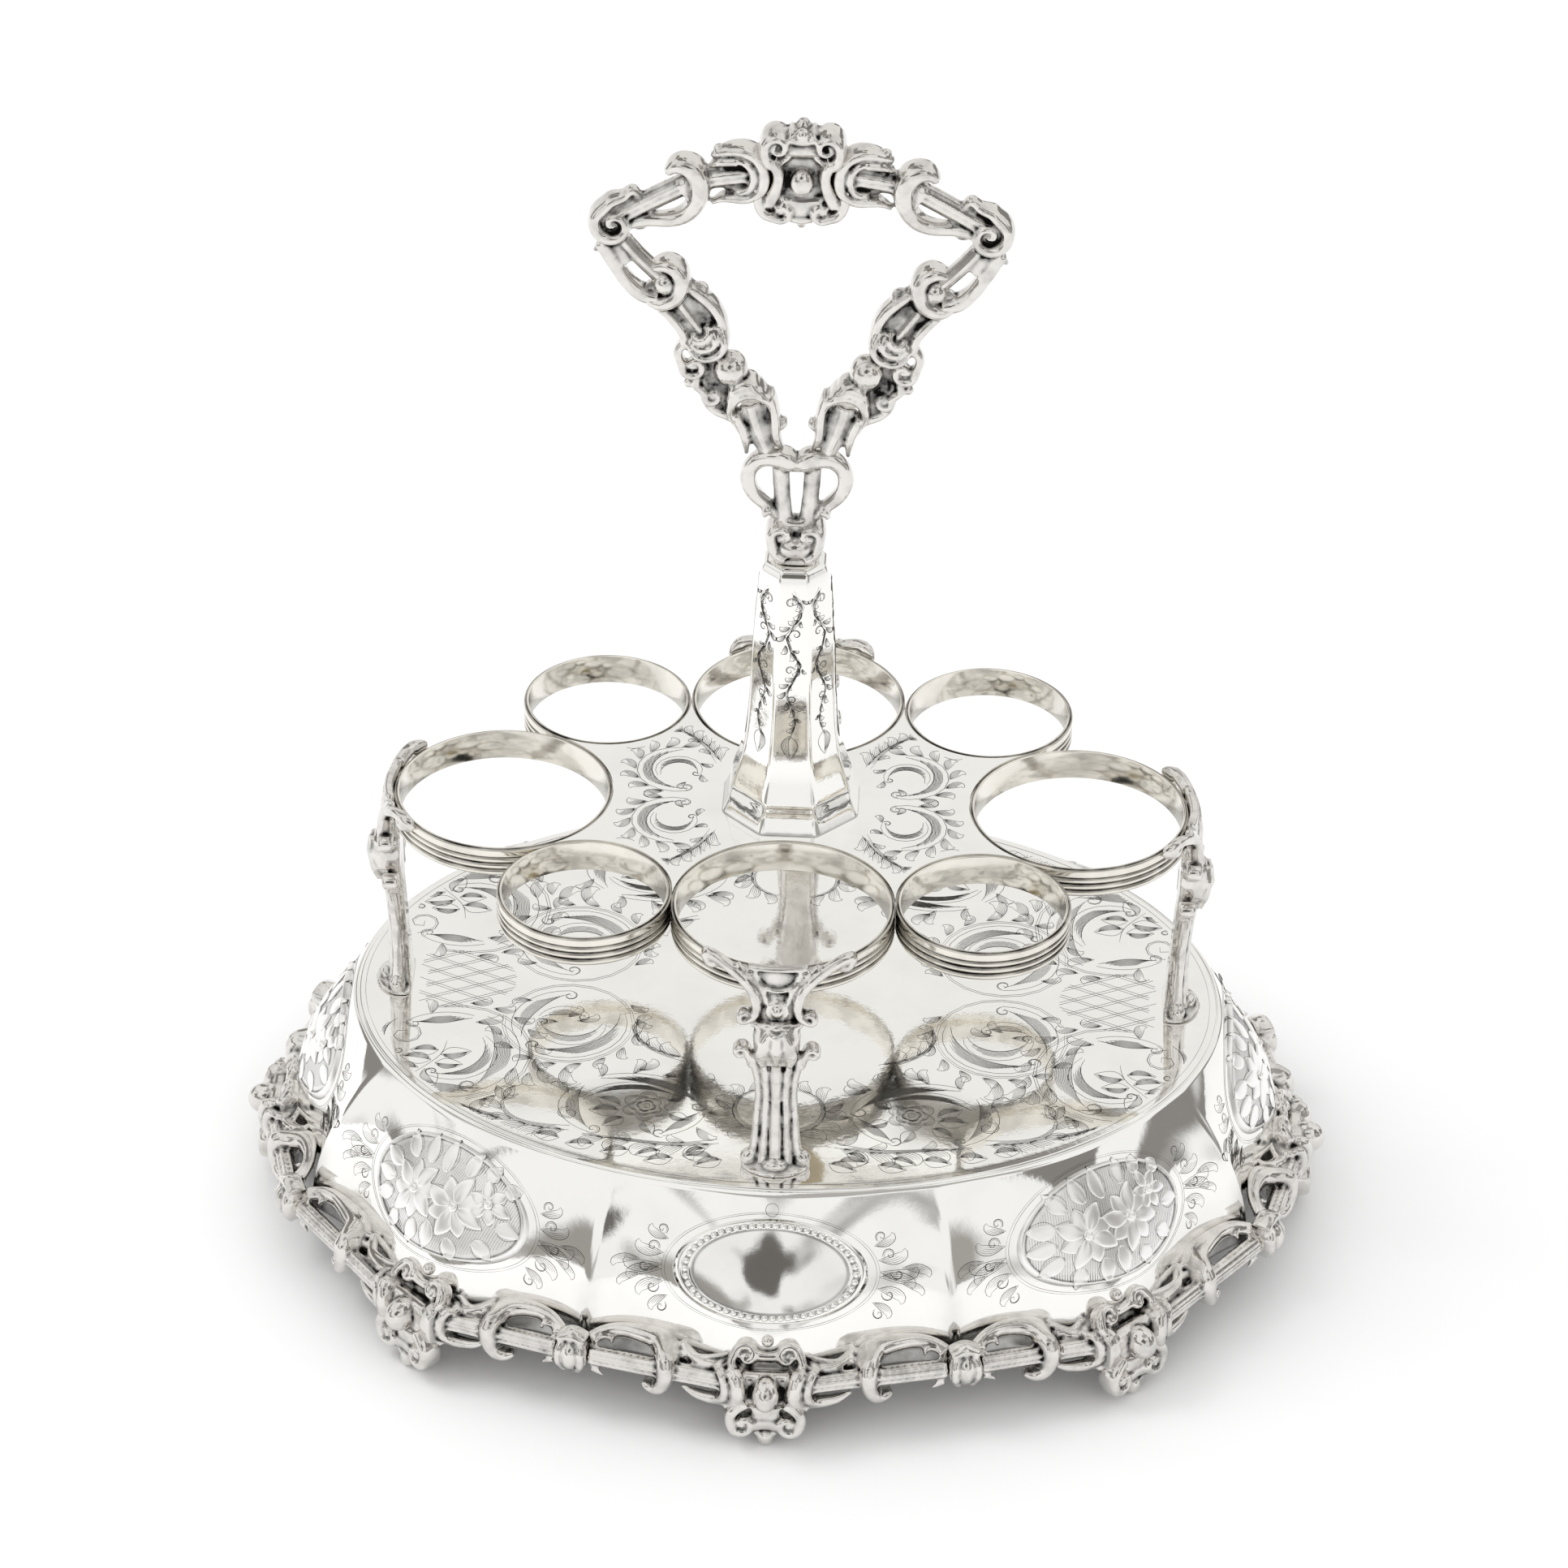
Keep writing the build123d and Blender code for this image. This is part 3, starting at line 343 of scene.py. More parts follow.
def ellipsoid(seat: Seat, flat: complex, radii: Tuple[float, float, float], out: float = 0.0, rows: int = 13,
        sides: int = 20) -> Skin:
    """Oval ball whose three half axes lie right, up and out of a seat, from its back to its front.

    Args:
        seat: Plane that it is put on.
        flat: Its middle on the plane.
        radii: Its half axes.
        out: Height of its middle off the plane.
        rows: Rings of points.
        sides: Points in a ring.
    Returns:
        A closed surface.
    """
    axes = np.array([seat.right, seat.up, seat.outward]) * np.asarray(radii)[:, None]
    turn = np.linspace(-0.49 * pi, 0.49 * pi, rows)
    angle = turns_of(sides)
    rim = np.cos(angle)[:, None] * axes[0] + np.sin(angle)[:, None] * axes[1]
    grid = np.cos(turn)[:, None, None] * rim[None] + np.sin(turn)[:, None, None] * axes[2]
    return capped(seat.at(np.array(flat), out) + grid)


@dataclass
class Casting:
    """A cast piece built up from closed forms that overlap, drawn on one seat for the right hand."""

    seat: Seat
    swell: float = 1.0
    lean_back: float = 0.0
    lean_drop: float = 0.0
    hand: int = 1
    skins: List[Skin] = field(default_factory=list)

    def handed(self, flat: Sequence[complex]) -> Array:
        """Flat points as they are for the right hand, and mirrored for the left."""
        points = np.asarray(flat, complex)
        return points if self.hand > 0 else mirrored(points)

    def leaned(self, flat: Array, out: Array) -> Array:
        """Space points of flat ones, with what lies above the rod laid back on the skirt.

        The share of the lean grows evenly from 2 mm to 8 mm over the seat, and the drop keeps
        a point where it was as seen from the photograph's height.
        """
        rise = np.clip((np.imag(flat) - 2.0) / 6.0, 0.0, 1.15)
        return self.seat.at(flat - 1j * self.lean_drop * rise, out - self.lean_back * rise)

    def strap(self, flat: Sequence[complex], across: object, thick: object, out: object = 0.0,
            both: bool = False, count: int = 0, flutes: int = 0, depth: float = 0.0,
            sides: int = 16) -> None:
        """Carry an oval profile along a smooth line on the seat.

        Args:
            flat: Points of the line, joined by a smooth curve.
            across: Half width in the seat, one number or a few spread along the line.
            thick: Half thickness out of the seat, likewise.
            out: Height of the line off the seat, likewise.
            both: Whether its mirror image is made too.
            count: Points along the line, or 0 for a number from its points.
            flutes: Flutes along it.
            depth: Their depth as a share of the radius.
            sides: Points round the profile.
        """
        count = count or 6 * len(flat)
        line = smooth_line(self.handed(flat), count)
        share = np.linspace(0, 1, count)

        def spread(value: object) -> Array:
            """One number, or a few spread evenly over the line."""
            values = np.atleast_1d(np.asarray(value, float))
            return np.interp(share, np.linspace(0, 1, len(values)), values)

        for one in ([line, mirrored(line)] if both else [line]):
            path = self.leaned(one, spread(out))
            width = spread(across) * (1.0 if flutes else self.swell)
            self.skins.append(carried(path, self.seat.outward, width, spread(thick), sides, flutes, depth))

    def bead(self, flat: complex, radii: object, out: float = 0.0, both: bool = False) -> None:
        """Put an oval ball on the seat, and its mirror image if asked."""
        size = tuple(np.broadcast_to(np.asarray(radii, float), (3,)))
        own = self.handed([flat])[0]
        for place in ([own, mirrored(own)] if both else [own]):
            middle = self.leaned(np.array(place), np.array(out))
            self.skins.append(ellipsoid(Seat(tuple(middle), self.seat.right, self.seat.up), 0j, size))

    def hoop(self, flat: complex, reach: Tuple[float, float], wire: float, out: float = 0.0) -> None:
        """Put an oval ring of round wire flat on the seat."""
        tube = turns_of(12)
        rim = ellipse(reach, turns_of(40))
        swell = 1 + wire * np.cos(tube)[None, :] / np.abs(rim)[:, None]
        path = self.seat.at(flat + rim[:, None] * swell, out + wire * np.sin(tube)[None, :])
        self.skins.append(looped(path[::-1]))

    def skin(self) -> Skin:
        """All its forms together."""
        return Skin.joined(self.skins)


def relaxed(points: Array, edges: Array, rounds: int) -> Array:
    """Points moved to the mean of their neighbours, half way each round.

    Args:
        points: Points, one row each.
        edges: Pairs of point numbers.
        rounds: How many rounds.
    Returns:
        The moved points.
    """
    count = np.bincount(edges.ravel(), minlength=len(points))[:, None]
    for _ in range(rounds):
        total = np.stack([np.bincount(edges[:, 0], points[edges[:, 1], axis], len(points))
            + np.bincount(edges[:, 1], points[edges[:, 0], axis], len(points)) for axis in range(3)],
            axis=-1)
        points = points + 0.5 * (total / np.maximum(count, 1) - points)
    return points


def vertex_array(mesh: Mesh, kind: str) -> Array:
    """Places ("co") or normals ("normal") of all vertices of a mesh, one row each."""
    values = np.empty(len(mesh.vertices) * 3)
    mesh.vertices.foreach_get(kind, values)
    return values.reshape(-1, 3)


def hollow_share(mesh: Mesh) -> Array:
    """How deep each vertex of a mesh lies in a hollow, from 0 on open ground to 1.

    Relaxing the mesh a little shows fine grooves and relaxing it more shows wide recesses,
    by how far they lift a vertex outwards.

    Args:
        mesh: Mesh in millimetres.
    Returns:
        One share for each vertex.
    """
    points = vertex_array(mesh, "co")
    normals = vertex_array(mesh, "normal")
    edges = np.empty(len(mesh.edges) * 2, int)
    mesh.edges.foreach_get("vertices", edges)
    edges = edges.reshape(-1, 2)
    fine = relaxed(points, edges, 8)
    broad = relaxed(fine, edges, 32)
    groove = ((fine - points) * normals).sum(axis=1) / GROOVE_LIFT
    recess = ((broad - points) * normals).sum(axis=1) / RECESS_LIFT
    share = np.clip(np.maximum(groove, recess - 0.06), -0.3, 1.0)
    blur = relaxed(np.stack([share] * 3, axis=-1), edges, 1)[:, 0]
    return np.clip(blur, 0.0, 1.0)


def sunk_shade_and_oxide(mesh: Mesh, seat: Seat, bed: object, both: bool) -> Array:
    """How far each vertex that faces out of a seat lies below a level, from 0 to 1, used as painted shade
    with oxide on the ground under a casting's straps.

    Args:
        mesh: Mesh in millimetres.
        seat: Plane that its casting was drawn on.
        bed: Level off the seat under which the ground darkens, one or one for each vertex.
        both: Whether the seat's back counts as its front does.
    Returns:
        One share for each vertex.
    """
    above = seat.local(vertex_array(mesh, "co"))[1]
    facing = vertex_array(mesh, "normal") @ seat.outward
    if both:
        above, facing = np.abs(above), np.abs(facing)
    return np.clip((bed - above) / 0.8, 0, 1) * np.clip(facing * 1.6 - 0.4, 0, 1)


def make_mesh(name: str, skin: Skin) -> Mesh:
    """Put a surface into a new mesh.

    Args:
        name: Name of the mesh.
        skin: Its surface.
    Returns:
        The mesh, still in millimetres.
    """
    mesh = bpy.data.meshes.new(name)
    corners = np.concatenate([skin.quads.ravel(), skin.tris.ravel()]).astype(np.int32)
    totals = np.concatenate([np.full(len(skin.quads), 4), np.full(len(skin.tris), 3)]).astype(np.int32)
    starts = np.concatenate([[0], np.cumsum(totals)[:-1]]).astype(np.int32)
    mesh.vertices.add(len(skin.points))
    mesh.vertices.foreach_set("co", skin.points.astype(np.float32).ravel())
    mesh.loops.add(len(corners))
    mesh.loops.foreach_set("vertex_index", corners)
    mesh.polygons.add(len(totals))
    mesh.polygons.foreach_set("loop_start", starts)
    mesh.polygons.foreach_set("loop_total", totals)
    mesh.update(calc_edges=True)
    mesh.validate()
    return mesh


def dress(mesh: Mesh, oxide_and_shade: Array, smooth: bool, sharp: float) -> None:
    """Store the oxide and painted shade of each vertex, shade the mesh and turn it into metres.

    Args:
        mesh: Mesh in millimetres.
        oxide_and_shade: Share of darkening at each vertex: oxide, and painted shade behind the straps and
            low on the skirt.
        smooth: Whether faces are shaded smooth.
        sharp: Angle in degrees over which an edge stays sharp, or 0 for none.
    """
    layer = mesh.attributes.new(OXIDE_AND_SHADE, "FLOAT", "POINT")
    layer.data.foreach_set("value", np.asarray(oxide_and_shade, np.float32))
    mesh.polygons.foreach_set("use_smooth", np.full(len(mesh.polygons), smooth))
    if sharp:
        mesh.set_sharp_from_angle(angle=radians(sharp))
    points = np.empty(len(mesh.vertices) * 3, np.float32)
    mesh.vertices.foreach_get("co", points)
    mesh.vertices.foreach_set("co", points * METRE)
    mesh.update()


def place(name: str, mesh: Mesh, oxide_and_shade: Array, finish: "Finish", nodes: Sequence[str] = (),
        smooth: bool = True, sharp: float = 0.0) -> None:
    """Dress a mesh and put it into the scene as a piece of the frame.

    Args:
        name: Name of the piece.
        mesh: Its mesh, in millimetres and in place.
        oxide_and_shade: Share of darkening at each vertex: oxide, and painted shade behind the straps and
            low on the skirt.
        finish: What its surface is.
        nodes: Solids that it stands for.
        smooth: Whether faces are shaded smooth.
        sharp: Angle in degrees over which an edge stays sharp, or 0 for none.
    """
    dress(mesh, oxide_and_shade, smooth, sharp)
    piece = bpy.data.objects.new(name, mesh)
    link(piece)
    mesh.materials.append(finish.material())
    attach(piece, "root")
    if nodes:
        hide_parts(*nodes)
    log.info("%s: %d faces", name, len(mesh.polygons))


def cast_mesh(name: str, skin: Skin) -> Mesh:
    """Melt overlapping closed forms into one skin.

    Args:
        name: Name of the mesh.
        skin: The forms.
    Returns:
        A mesh in millimetres.
    """
    raw = bpy.data.objects.new(name + "_raw", make_mesh(name + "_raw", skin))
    link(raw)
    melt = raw.modifiers.new("melt", "REMESH")
    melt.mode = "VOXEL"
    melt.voxel_size = VOXEL
    melt.adaptivity = 0.0
    ease = raw.modifiers.new("ease", "SMOOTH")
    ease.factor = 0.5
    ease.iterations = SMOOTH_ROUNDS
    graph = bpy.context.evaluated_depsgraph_get()
    mesh = bpy.data.meshes.new_from_object(raw.evaluated_get(graph))
    mesh.name = name
    old = raw.data
    bpy.data.objects.remove(raw)
    bpy.data.meshes.remove(old)
    return mesh


@dataclass(frozen=True)
class Finish:
    """A finish of silver plate: its bright colour, its dark one for oxide and painted shade, and how rough
    each is.
    """

    name: str
    slot: Slot
    bright: str
    dark: str
    gloss: float
    dull: float
    bloom: float
    cloud_mm: float
    scratch: float

    def material(self) -> Material:
        """The finish as a material, made once.

        The oxide-and-shade attribute and a cloudy noise mix the bright colour with the dark one, which
        stands for oxide and for painted shade, and both also roughen it. Fine noise in the bump gives the
        wear of polishing.
        """
        known = bpy.data.materials.get(self.name)
        if known:
            return known
        made = bpy.data.materials.new(self.name)
        made.use_nodes = True
        tree = made.node_tree
        tree.nodes.clear()
        spot = add_node(tree, "TexCoord", out="Object")
        hollow = add_node(tree, "Attribute", out="Fac", attribute_name=OXIDE_AND_SHADE)
        cloud = add_node(tree, "TexNoise", {"Vector": spot, "Scale": 1 / (self.cloud_mm * METRE),
            "Detail": 4.0, "Roughness": 0.55})
        lift = remapped(tree, cloud, 0.35, 0.75, 0.55, 1.25)
        shade = add_node(tree, "Math", {0: hollow, 1: lift}, operation="MULTIPLY")
        film = remapped(tree, cloud, 0.45, 0.8, 0.0, self.bloom)
        total = add_node(tree, "Math", {0: shade, 1: film}, operation="ADD", use_clamp=True)
        tone = add_node(tree, "ValToRGB", {"Fac": total})
        bright, dark = tone.node.color_ramp.elements
        bright.color = linear(self.bright)
        dark.color = linear(self.dark)
        dark.position = 0.9
        rough = remapped(tree, total, 0.0, 0.8, self.gloss, self.dull)
        grit = add_node(tree, "TexNoise", {"Vector": spot, "Scale": 1 / (1.6 * METRE), "Detail": 3.0})
        bump = add_node(tree, "Bump", {"Height": grit, "Strength": self.scratch, "Distance": 0.0002})
        metal = add_node(tree, "BsdfPrincipled", {"Base Color": tone, "Roughness": rough, "Normal": bump,
            "Metallic": 1.0})
        add_node(tree, "OutputMaterial", {"Surface": metal})
        return made


# Sterling-like plate, spun and hand polished: a bright, slightly warm mirror with faint clouds; its dark is
# oxide, and low on the skirt also painted shade
POLISHED = Finish("silver_plate_polished", Slot.POLISHED, "F8F7F4", "34302C", 0.045, 0.4, 0.05, 14.0, 0.05)
# The same plate with a matted, hatched ground: pale and soft, it mirrors nothing sharply
MATTED = Finish("silver_plate_matted", Slot.POLISHED, "FCFBF9", "33302C", 0.3, 0.46, 0.05, 3.0, 0.06)
# Cast and chased plate: polished on its heights, black silver oxide left in its hollows; the same dark is
# painted shade on the ground behind its straps
CAST = Finish("silver_plate_cast_oxidised", Slot.CAST, "E4E1DD", "141211", 0.085, 0.44, 0.3, 4.0, 0.2)
# Drawn reeded band of the bottle rings: polished, a little yellower with sulphide
RING = Finish("silver_plate_drawn_band", Slot.RING, "EDE9E0", "1F1B18", 0.11, 0.45, 0.2, 9.0, 0.06)
# Burin cuts, darker than the ground because they hold oxide
CUT = Finish("silver_plate_engraved_line", Slot.POLISHED, "5E5B57", "2F2D2A", 0.36, 0.5, 0.3, 6.0, 0.0)
# Plated brass nuts and washers under the deck and plate: duller and yellower
FITTING = Finish("plated_brass_fittings", Slot.FITTING, "CFC3A8", "4A3F30", 0.28, 0.5, 0.3, 4.0, 0.15)


@dataclass
class PanelLines:
    """The swept outline of the base: eight panels that meet in crests over the knots."""

    jewels: Tuple[complex, ...] = (-101.4j, 82.1-78.2j, 121.3+0j, 82.1+78.2j, 101.4j, -82.1+78.2j, -121.3+0j,
        -82.1-78.2j)
    knots: Tuple[complex, ...] = (-43.8-90.3j, 43.8-90.3j, 112.4-38.5j, 112.4+38.5j, 43.8+90.3j, -43.8+90.3j,
        -112.4+38.5j, -112.4-38.5j)
    names: Tuple[str, ...] = ("front", "front_right", "right", "back_right", "back", "back_left", "left",
        "front_left")
    crests: Tuple[float, ...] = (-111.1, -68.9, -25.4, 25.4, 68.9, 111.1, 154.6, 205.4)
    top: float = PLATE_TOP - 0.5
    foot: float = 12.5
    fall_power: float = 2.0
    flank_share: float = 0.25
    flank_hollow: float = 2.3
    jewel_setback: float = 4.45
    knot_setback: float = 4.35

    def feet(self, index: int) -> List[complex]:
        """Foot points of a panel: crest, hollow flank, middle, hollow flank, crest."""
        first = self.knots[index]
        last = self.knots[(index + 1) % 8]
        jewel = self.jewels[index]
        out = jewel / abs(jewel)
        start = first - first / abs(first) * self.knot_setback
        end = last - last / abs(last) * self.knot_setback
        middle = jewel - out * self.jewel_setback
        flanks = [corner + (middle - corner) * self.flank_share - out * self.flank_hollow
            for corner in (start, end)]
        return [start, flanks[0], middle, flanks[1], end]

    def tops(self, index: int) -> Tuple[List[complex], List[complex]]:
        """Points of the plate's oval over a panel's foot points, and the outward directions."""
        start = self.crests[index]
        end = self.crests[(index + 1) % 8]
        end += 360 if end < start else 0
        middle = (start + end) / 2
        flanks = [corner + (middle - corner) * self.flank_share for corner in (start, end)]
        angles = [start, flanks[0], middle, flanks[1], end]
        turns = [radians(angle) for angle in angles]
        points = [complex(PLATE_LONG * cos(turn), PLATE_WIDE * sin(turn)) for turn in turns]
        outs = [complex(PLATE_WIDE * cos(turn), PLATE_LONG * sin(turn)) for turn in turns]
        return points, [out / abs(out) for out in outs]

    def row(self, index: int, drop: float, inset: float, count: int) -> Array:
        """One level line of a panel, through its five points, as space points.

        Args:
            index: Which panel.
            drop: Share of the way down from the plate to the foot.
            inset: How far it is set in from the outside.
            count: Points along it.
        Returns:
            Points of shape (count, 3).
        """
        fall = 1 - (1 - drop) ** self.fall_power
        points, outs = self.tops(index)
        level = [top + (foot - top) * fall - out * inset
            for top, foot, out in zip(points, self.feet(index), outs)]
        line = smooth_line(level, count)
        height = self.top + (self.foot - self.top) * drop
        return np.stack([line.real, line.imag, np.full(count, height)], axis=-1)

    def sheet(self, index: int, drops: Array, inset: float, count: int) -> Array:
        """Grid of a panel's points, shape (drops, count, 3)."""
        return np.stack([self.row(index, float(drop), inset, count) for drop in drops])


LINES = PanelLines()


@dataclass
class Medallion:
    """Raised oval of one panel: a moulded frame round a plain or flowered field."""

    index: int
    step: float = 0.04
    rise: float = 1.35
    rings: int = 64
    spokes: int = 144
    back_step: int = 7
    beads_round: int = 54
    bead_line: float = 0.868
    blade_rows: int = 14
    blade_sides: int = 24
    hearts: Tuple[complex, ...] = (12.4+3.4j, -6.9-0.9j, 5-0.5j)

    @property
    def plain(self) -> bool:
        """Whether it is the plain front one with the beaded frame."""
        return self.index == 0

    @property
    def reach(self) -> Tuple[float, float]:
        """Half length and half height of the oval."""
        return (22.0, 11.9) if self.plain else (22.4, 13.2)

    def seat(self) -> Seat:
        """Plane on the middle of the panel, tilted back with its slope."""
        fall_share = 0.345 if self.plain else 0.335
        above = LINES.row(self.index, fall_share - self.step, 0, 41)[20]
        below = LINES.row(self.index, fall_share + self.step, 0, 41)[20]
        line = LINES.row(self.index, fall_share, 0, 41)
        across = unit(line[30] - line[10])
        rise = above - below
        rise = unit(rise - across * float(rise @ across))
        return Seat(tuple(line[20]), tuple(across), tuple(rise))

    def profile(self, share: Array) -> Array:
        """Height of the moulding over the panel at a share of the oval's reach.

        A low dish, then a hollow, a bead row's bed or a rim, and a shoulder that falls to
        the panel. Each part is a smooth step.
        """

        def step(low: float, high: float) -> Array:
            """Smooth rise from 0 to 1 between two shares."""
            t = np.clip((share - low) / (high - low), 0, 1)
            return t * t * (3 - 2 * t)

        if self.plain:
            return (0.45 + 0.35 * (1 - share ** 2) + 0.55 * step(0.8, 0.82) - 0.3 * step(0.825, 0.84)
                + 0.35 * step(0.895, 0.92) - 1.1 * step(0.94, 1.0) ** 1.4)
        return 0.55 + 0.45 * (1 - share ** 2) + 0.3 * step(0.925, 0.94) - 0.8 * step(0.955, 1.0) ** 1.3

    def surface(self) -> Tuple[Skin, Array]:
        """The medallion as a closed lens with its tarnish.

        Rings of growing share of the oval carry the moulding's height; the panel's own
        bulge is followed by lowering the rim as the square of the distance along it.
        """
        seat = self.seat()
        share = np.linspace(0.02, 1.0, self.rings)
        flat = share[:, None] * ellipse(self.reach, turns_of(self.spokes))[None, :]
        bulge = self.bulge(flat)
        height = self.profile(share)[:, None] + bulge
        front = seat.at(flat, height)
        back = seat.at(flat[::-self.back_step], bulge[::-self.back_step] - 0.9)
        skin = capped(np.concatenate([front, back]))
        inner = 0.79 if self.plain else 0.925
        edge = np.exp(-((share - inner) / 0.014) ** 2) * 0.7 + np.exp(-((share - 0.995) / 0.01) ** 2) * 0.35
        bed = np.where((share > 0.83) & (share < 0.9), 0.6 if self.plain else 0.0, 0.0)
        ground = np.where(share < inner, 0.08, 0.0)
        front_tarnish = np.repeat(edge + bed + ground, self.spokes)
        oxide_and_shade = np.concatenate([front_tarnish, np.zeros(len(skin.points) - len(front_tarnish))])
        return skin, oxide_and_shade

    def bulge(self, flat: Array) -> Array:
        """How far the panel stands over the medallion's seat at flat points, by interpolation."""
        sheet = LINES.sheet(self.index, np.linspace(0.02, 0.98, 33), 0, 81).reshape(-1, 3)
        spots, out = self.seat().local(sheet)
        near = (np.abs(spots.real) < self.reach[0] * 1.25) & (np.abs(spots.imag) < self.reach[1] * 1.25)
        fit = np.linalg.lstsq(np.stack(self.terms(spots[near]), axis=-1), out[near], rcond=None)[0]
        return sum(part * term for part, term in zip(fit, self.terms(flat)))

    @staticmethod
    def terms(flat: Array) -> List[Array]:
        """Powers and products of the two flat measures that a panel's bulge is made of."""
        u, v = flat.real, flat.imag
        return [np.ones_like(u), u, v, u ** 2, u * v, v ** 2, u ** 2 * v, v ** 3, u ** 4]

    def share(self, flat: Array) -> Array:
        """Share of the oval's reach at which flat points lie."""
        return np.abs(flat.real / self.reach[0] + 1j * flat.imag / self.reach[1])

    def lift(self, flat: Array, extra: float) -> Array:
        """Space points on the medallion's field, lifted a little."""
        return self.seat().at(flat, self.bulge(flat) + self.profile(self.share(flat)) + extra)

    def outline(self, points: Array) -> Array:
        """Oxide on relief: full where it meets the field and none on its height."""
        flat, out = self.seat().local(points)
        above = out - self.bulge(flat) - self.profile(self.share(flat))
        return np.clip(0.7 - above / 0.22, 0.0, 0.7)

    def beads(self) -> List[Skin]:
        """Row of small beads in the front one's frame, evenly spaced along the oval."""
        turn = np.linspace(0, FULL_TURN, 721)
        rim = self.bead_line * ellipse(self.reach, turn)
        run = np.concatenate([[0], np.cumsum(np.abs(np.diff(rim)))])
        angle = np.interp(np.arange(self.beads_round) * run[-1] / self.beads_round, run, turn)
        seat = self.seat()
        return [ellipsoid(Seat(tuple(centre), seat.right, seat.up), 0j, (0.78, 0.78, 0.6), 0.0, 7, 12)
            for centre in self.lift(self.bead_line * ellipse(self.reach, angle), 0.1)]

    def blades(self) -> List[Tuple[complex, complex, float, float]]:
        """Petals of two large flowers and a smaller one, and pointed leaves among them.

        Returns:
            The base, tip, half width and height of each, leaves first.
        """
        leaves = ((-13+2.6j, -19+4.4j), (-13.2-4j, -18.6-5.6j), (-9.6+5.6j, -13+10.4j), (-5+6j, -6.4+11.8j),
            (-10-7.2j, -11.8-11.2j), (-4.4-7j, -4.6-12.2j), (-0.4+5.6j, -0.8+12.4j), (5.4+7j, 6.2+12.4j),
            (14.6+7j, 17.6+8.8j), (15.4-0.6j, 20.4-0.8j), (11.6-5.8j, 15.8-8j), (5.6-7.6j, 7.6-12j),
            (0-5.8j, 0.4-11.6j), (10+8j, 11.4+11.6j), (-14-0.8j, -20.2-0.4j))
        made = [(base, base + 1.15 * (tip - base), 1.9, 0.32) for base, tip in leaves]
        for heart, size, first, count in zip(self.hearts, (5.4, 7.6, 7.8), (50, 10, 30), (6, 8, 8)):
            for number in range(count):
                turn = np.exp(1j * np.radians(first + number * 360 / count))
                high = 0.42 + 0.14 * (number % 2)
                made.append((heart + 0.9 * turn, heart + size * (0.9 + 0.14 * (number % 2)) * turn,
                    size * 0.27, high))
        return made

    def petals(self) -> List[Skin]:
        """The blades in low relief, and a ball with a rim in the heart of each flower.

        A blade is a row of loops along a short bent line. Across it the height falls from the
        middle as the root of the sine of the loop's angle, and a crease runs along its base.
        """
        made: List[Skin] = []
        seat = self.seat()
        share = np.linspace(0.02, 0.99, self.blade_rows)[:, None]
        angle = turns_of(self.blade_sides)
        over = np.sin(angle)
        top = np.where(over > 0, np.abs(over) ** 0.4, -0.25 / 0.45 * np.abs(over))[None, :]
        crease = 0.3 * np.exp(-(np.cos(angle) / 0.16) ** 2)[None, :] * np.clip(1 - share / 0.55, 0, 1)
        crease = crease * (top > 0)
        for base, tip, width, rise in self.blades():
            line = smooth_line([base, (base + tip) / 2 + 0.06j * (tip - base), tip],
                self.blade_rows)[:, None]
            side = 1j * (tip - base) / abs(tip - base)
            swell = np.sin(pi * share ** 0.85) ** 0.8
            flat = line + side * width * swell * np.cos(angle)[None, :]
            made.append(capped(self.lift(flat, (top - crease) * rise * swell ** 0.4)[:, ::-1]))
        for heart in self.hearts:
            at = Seat(tuple(self.lift(np.array(heart), 0.35)), seat.right, seat.up)
            made.append(ellipsoid(at, 0j, (1.25, 1.25, 0.5), 0.0, 7, 14))
            made.append(ellipsoid(at, 0j, (0.6, 0.6, 0.5), 0.4, 5, 10))
        return made


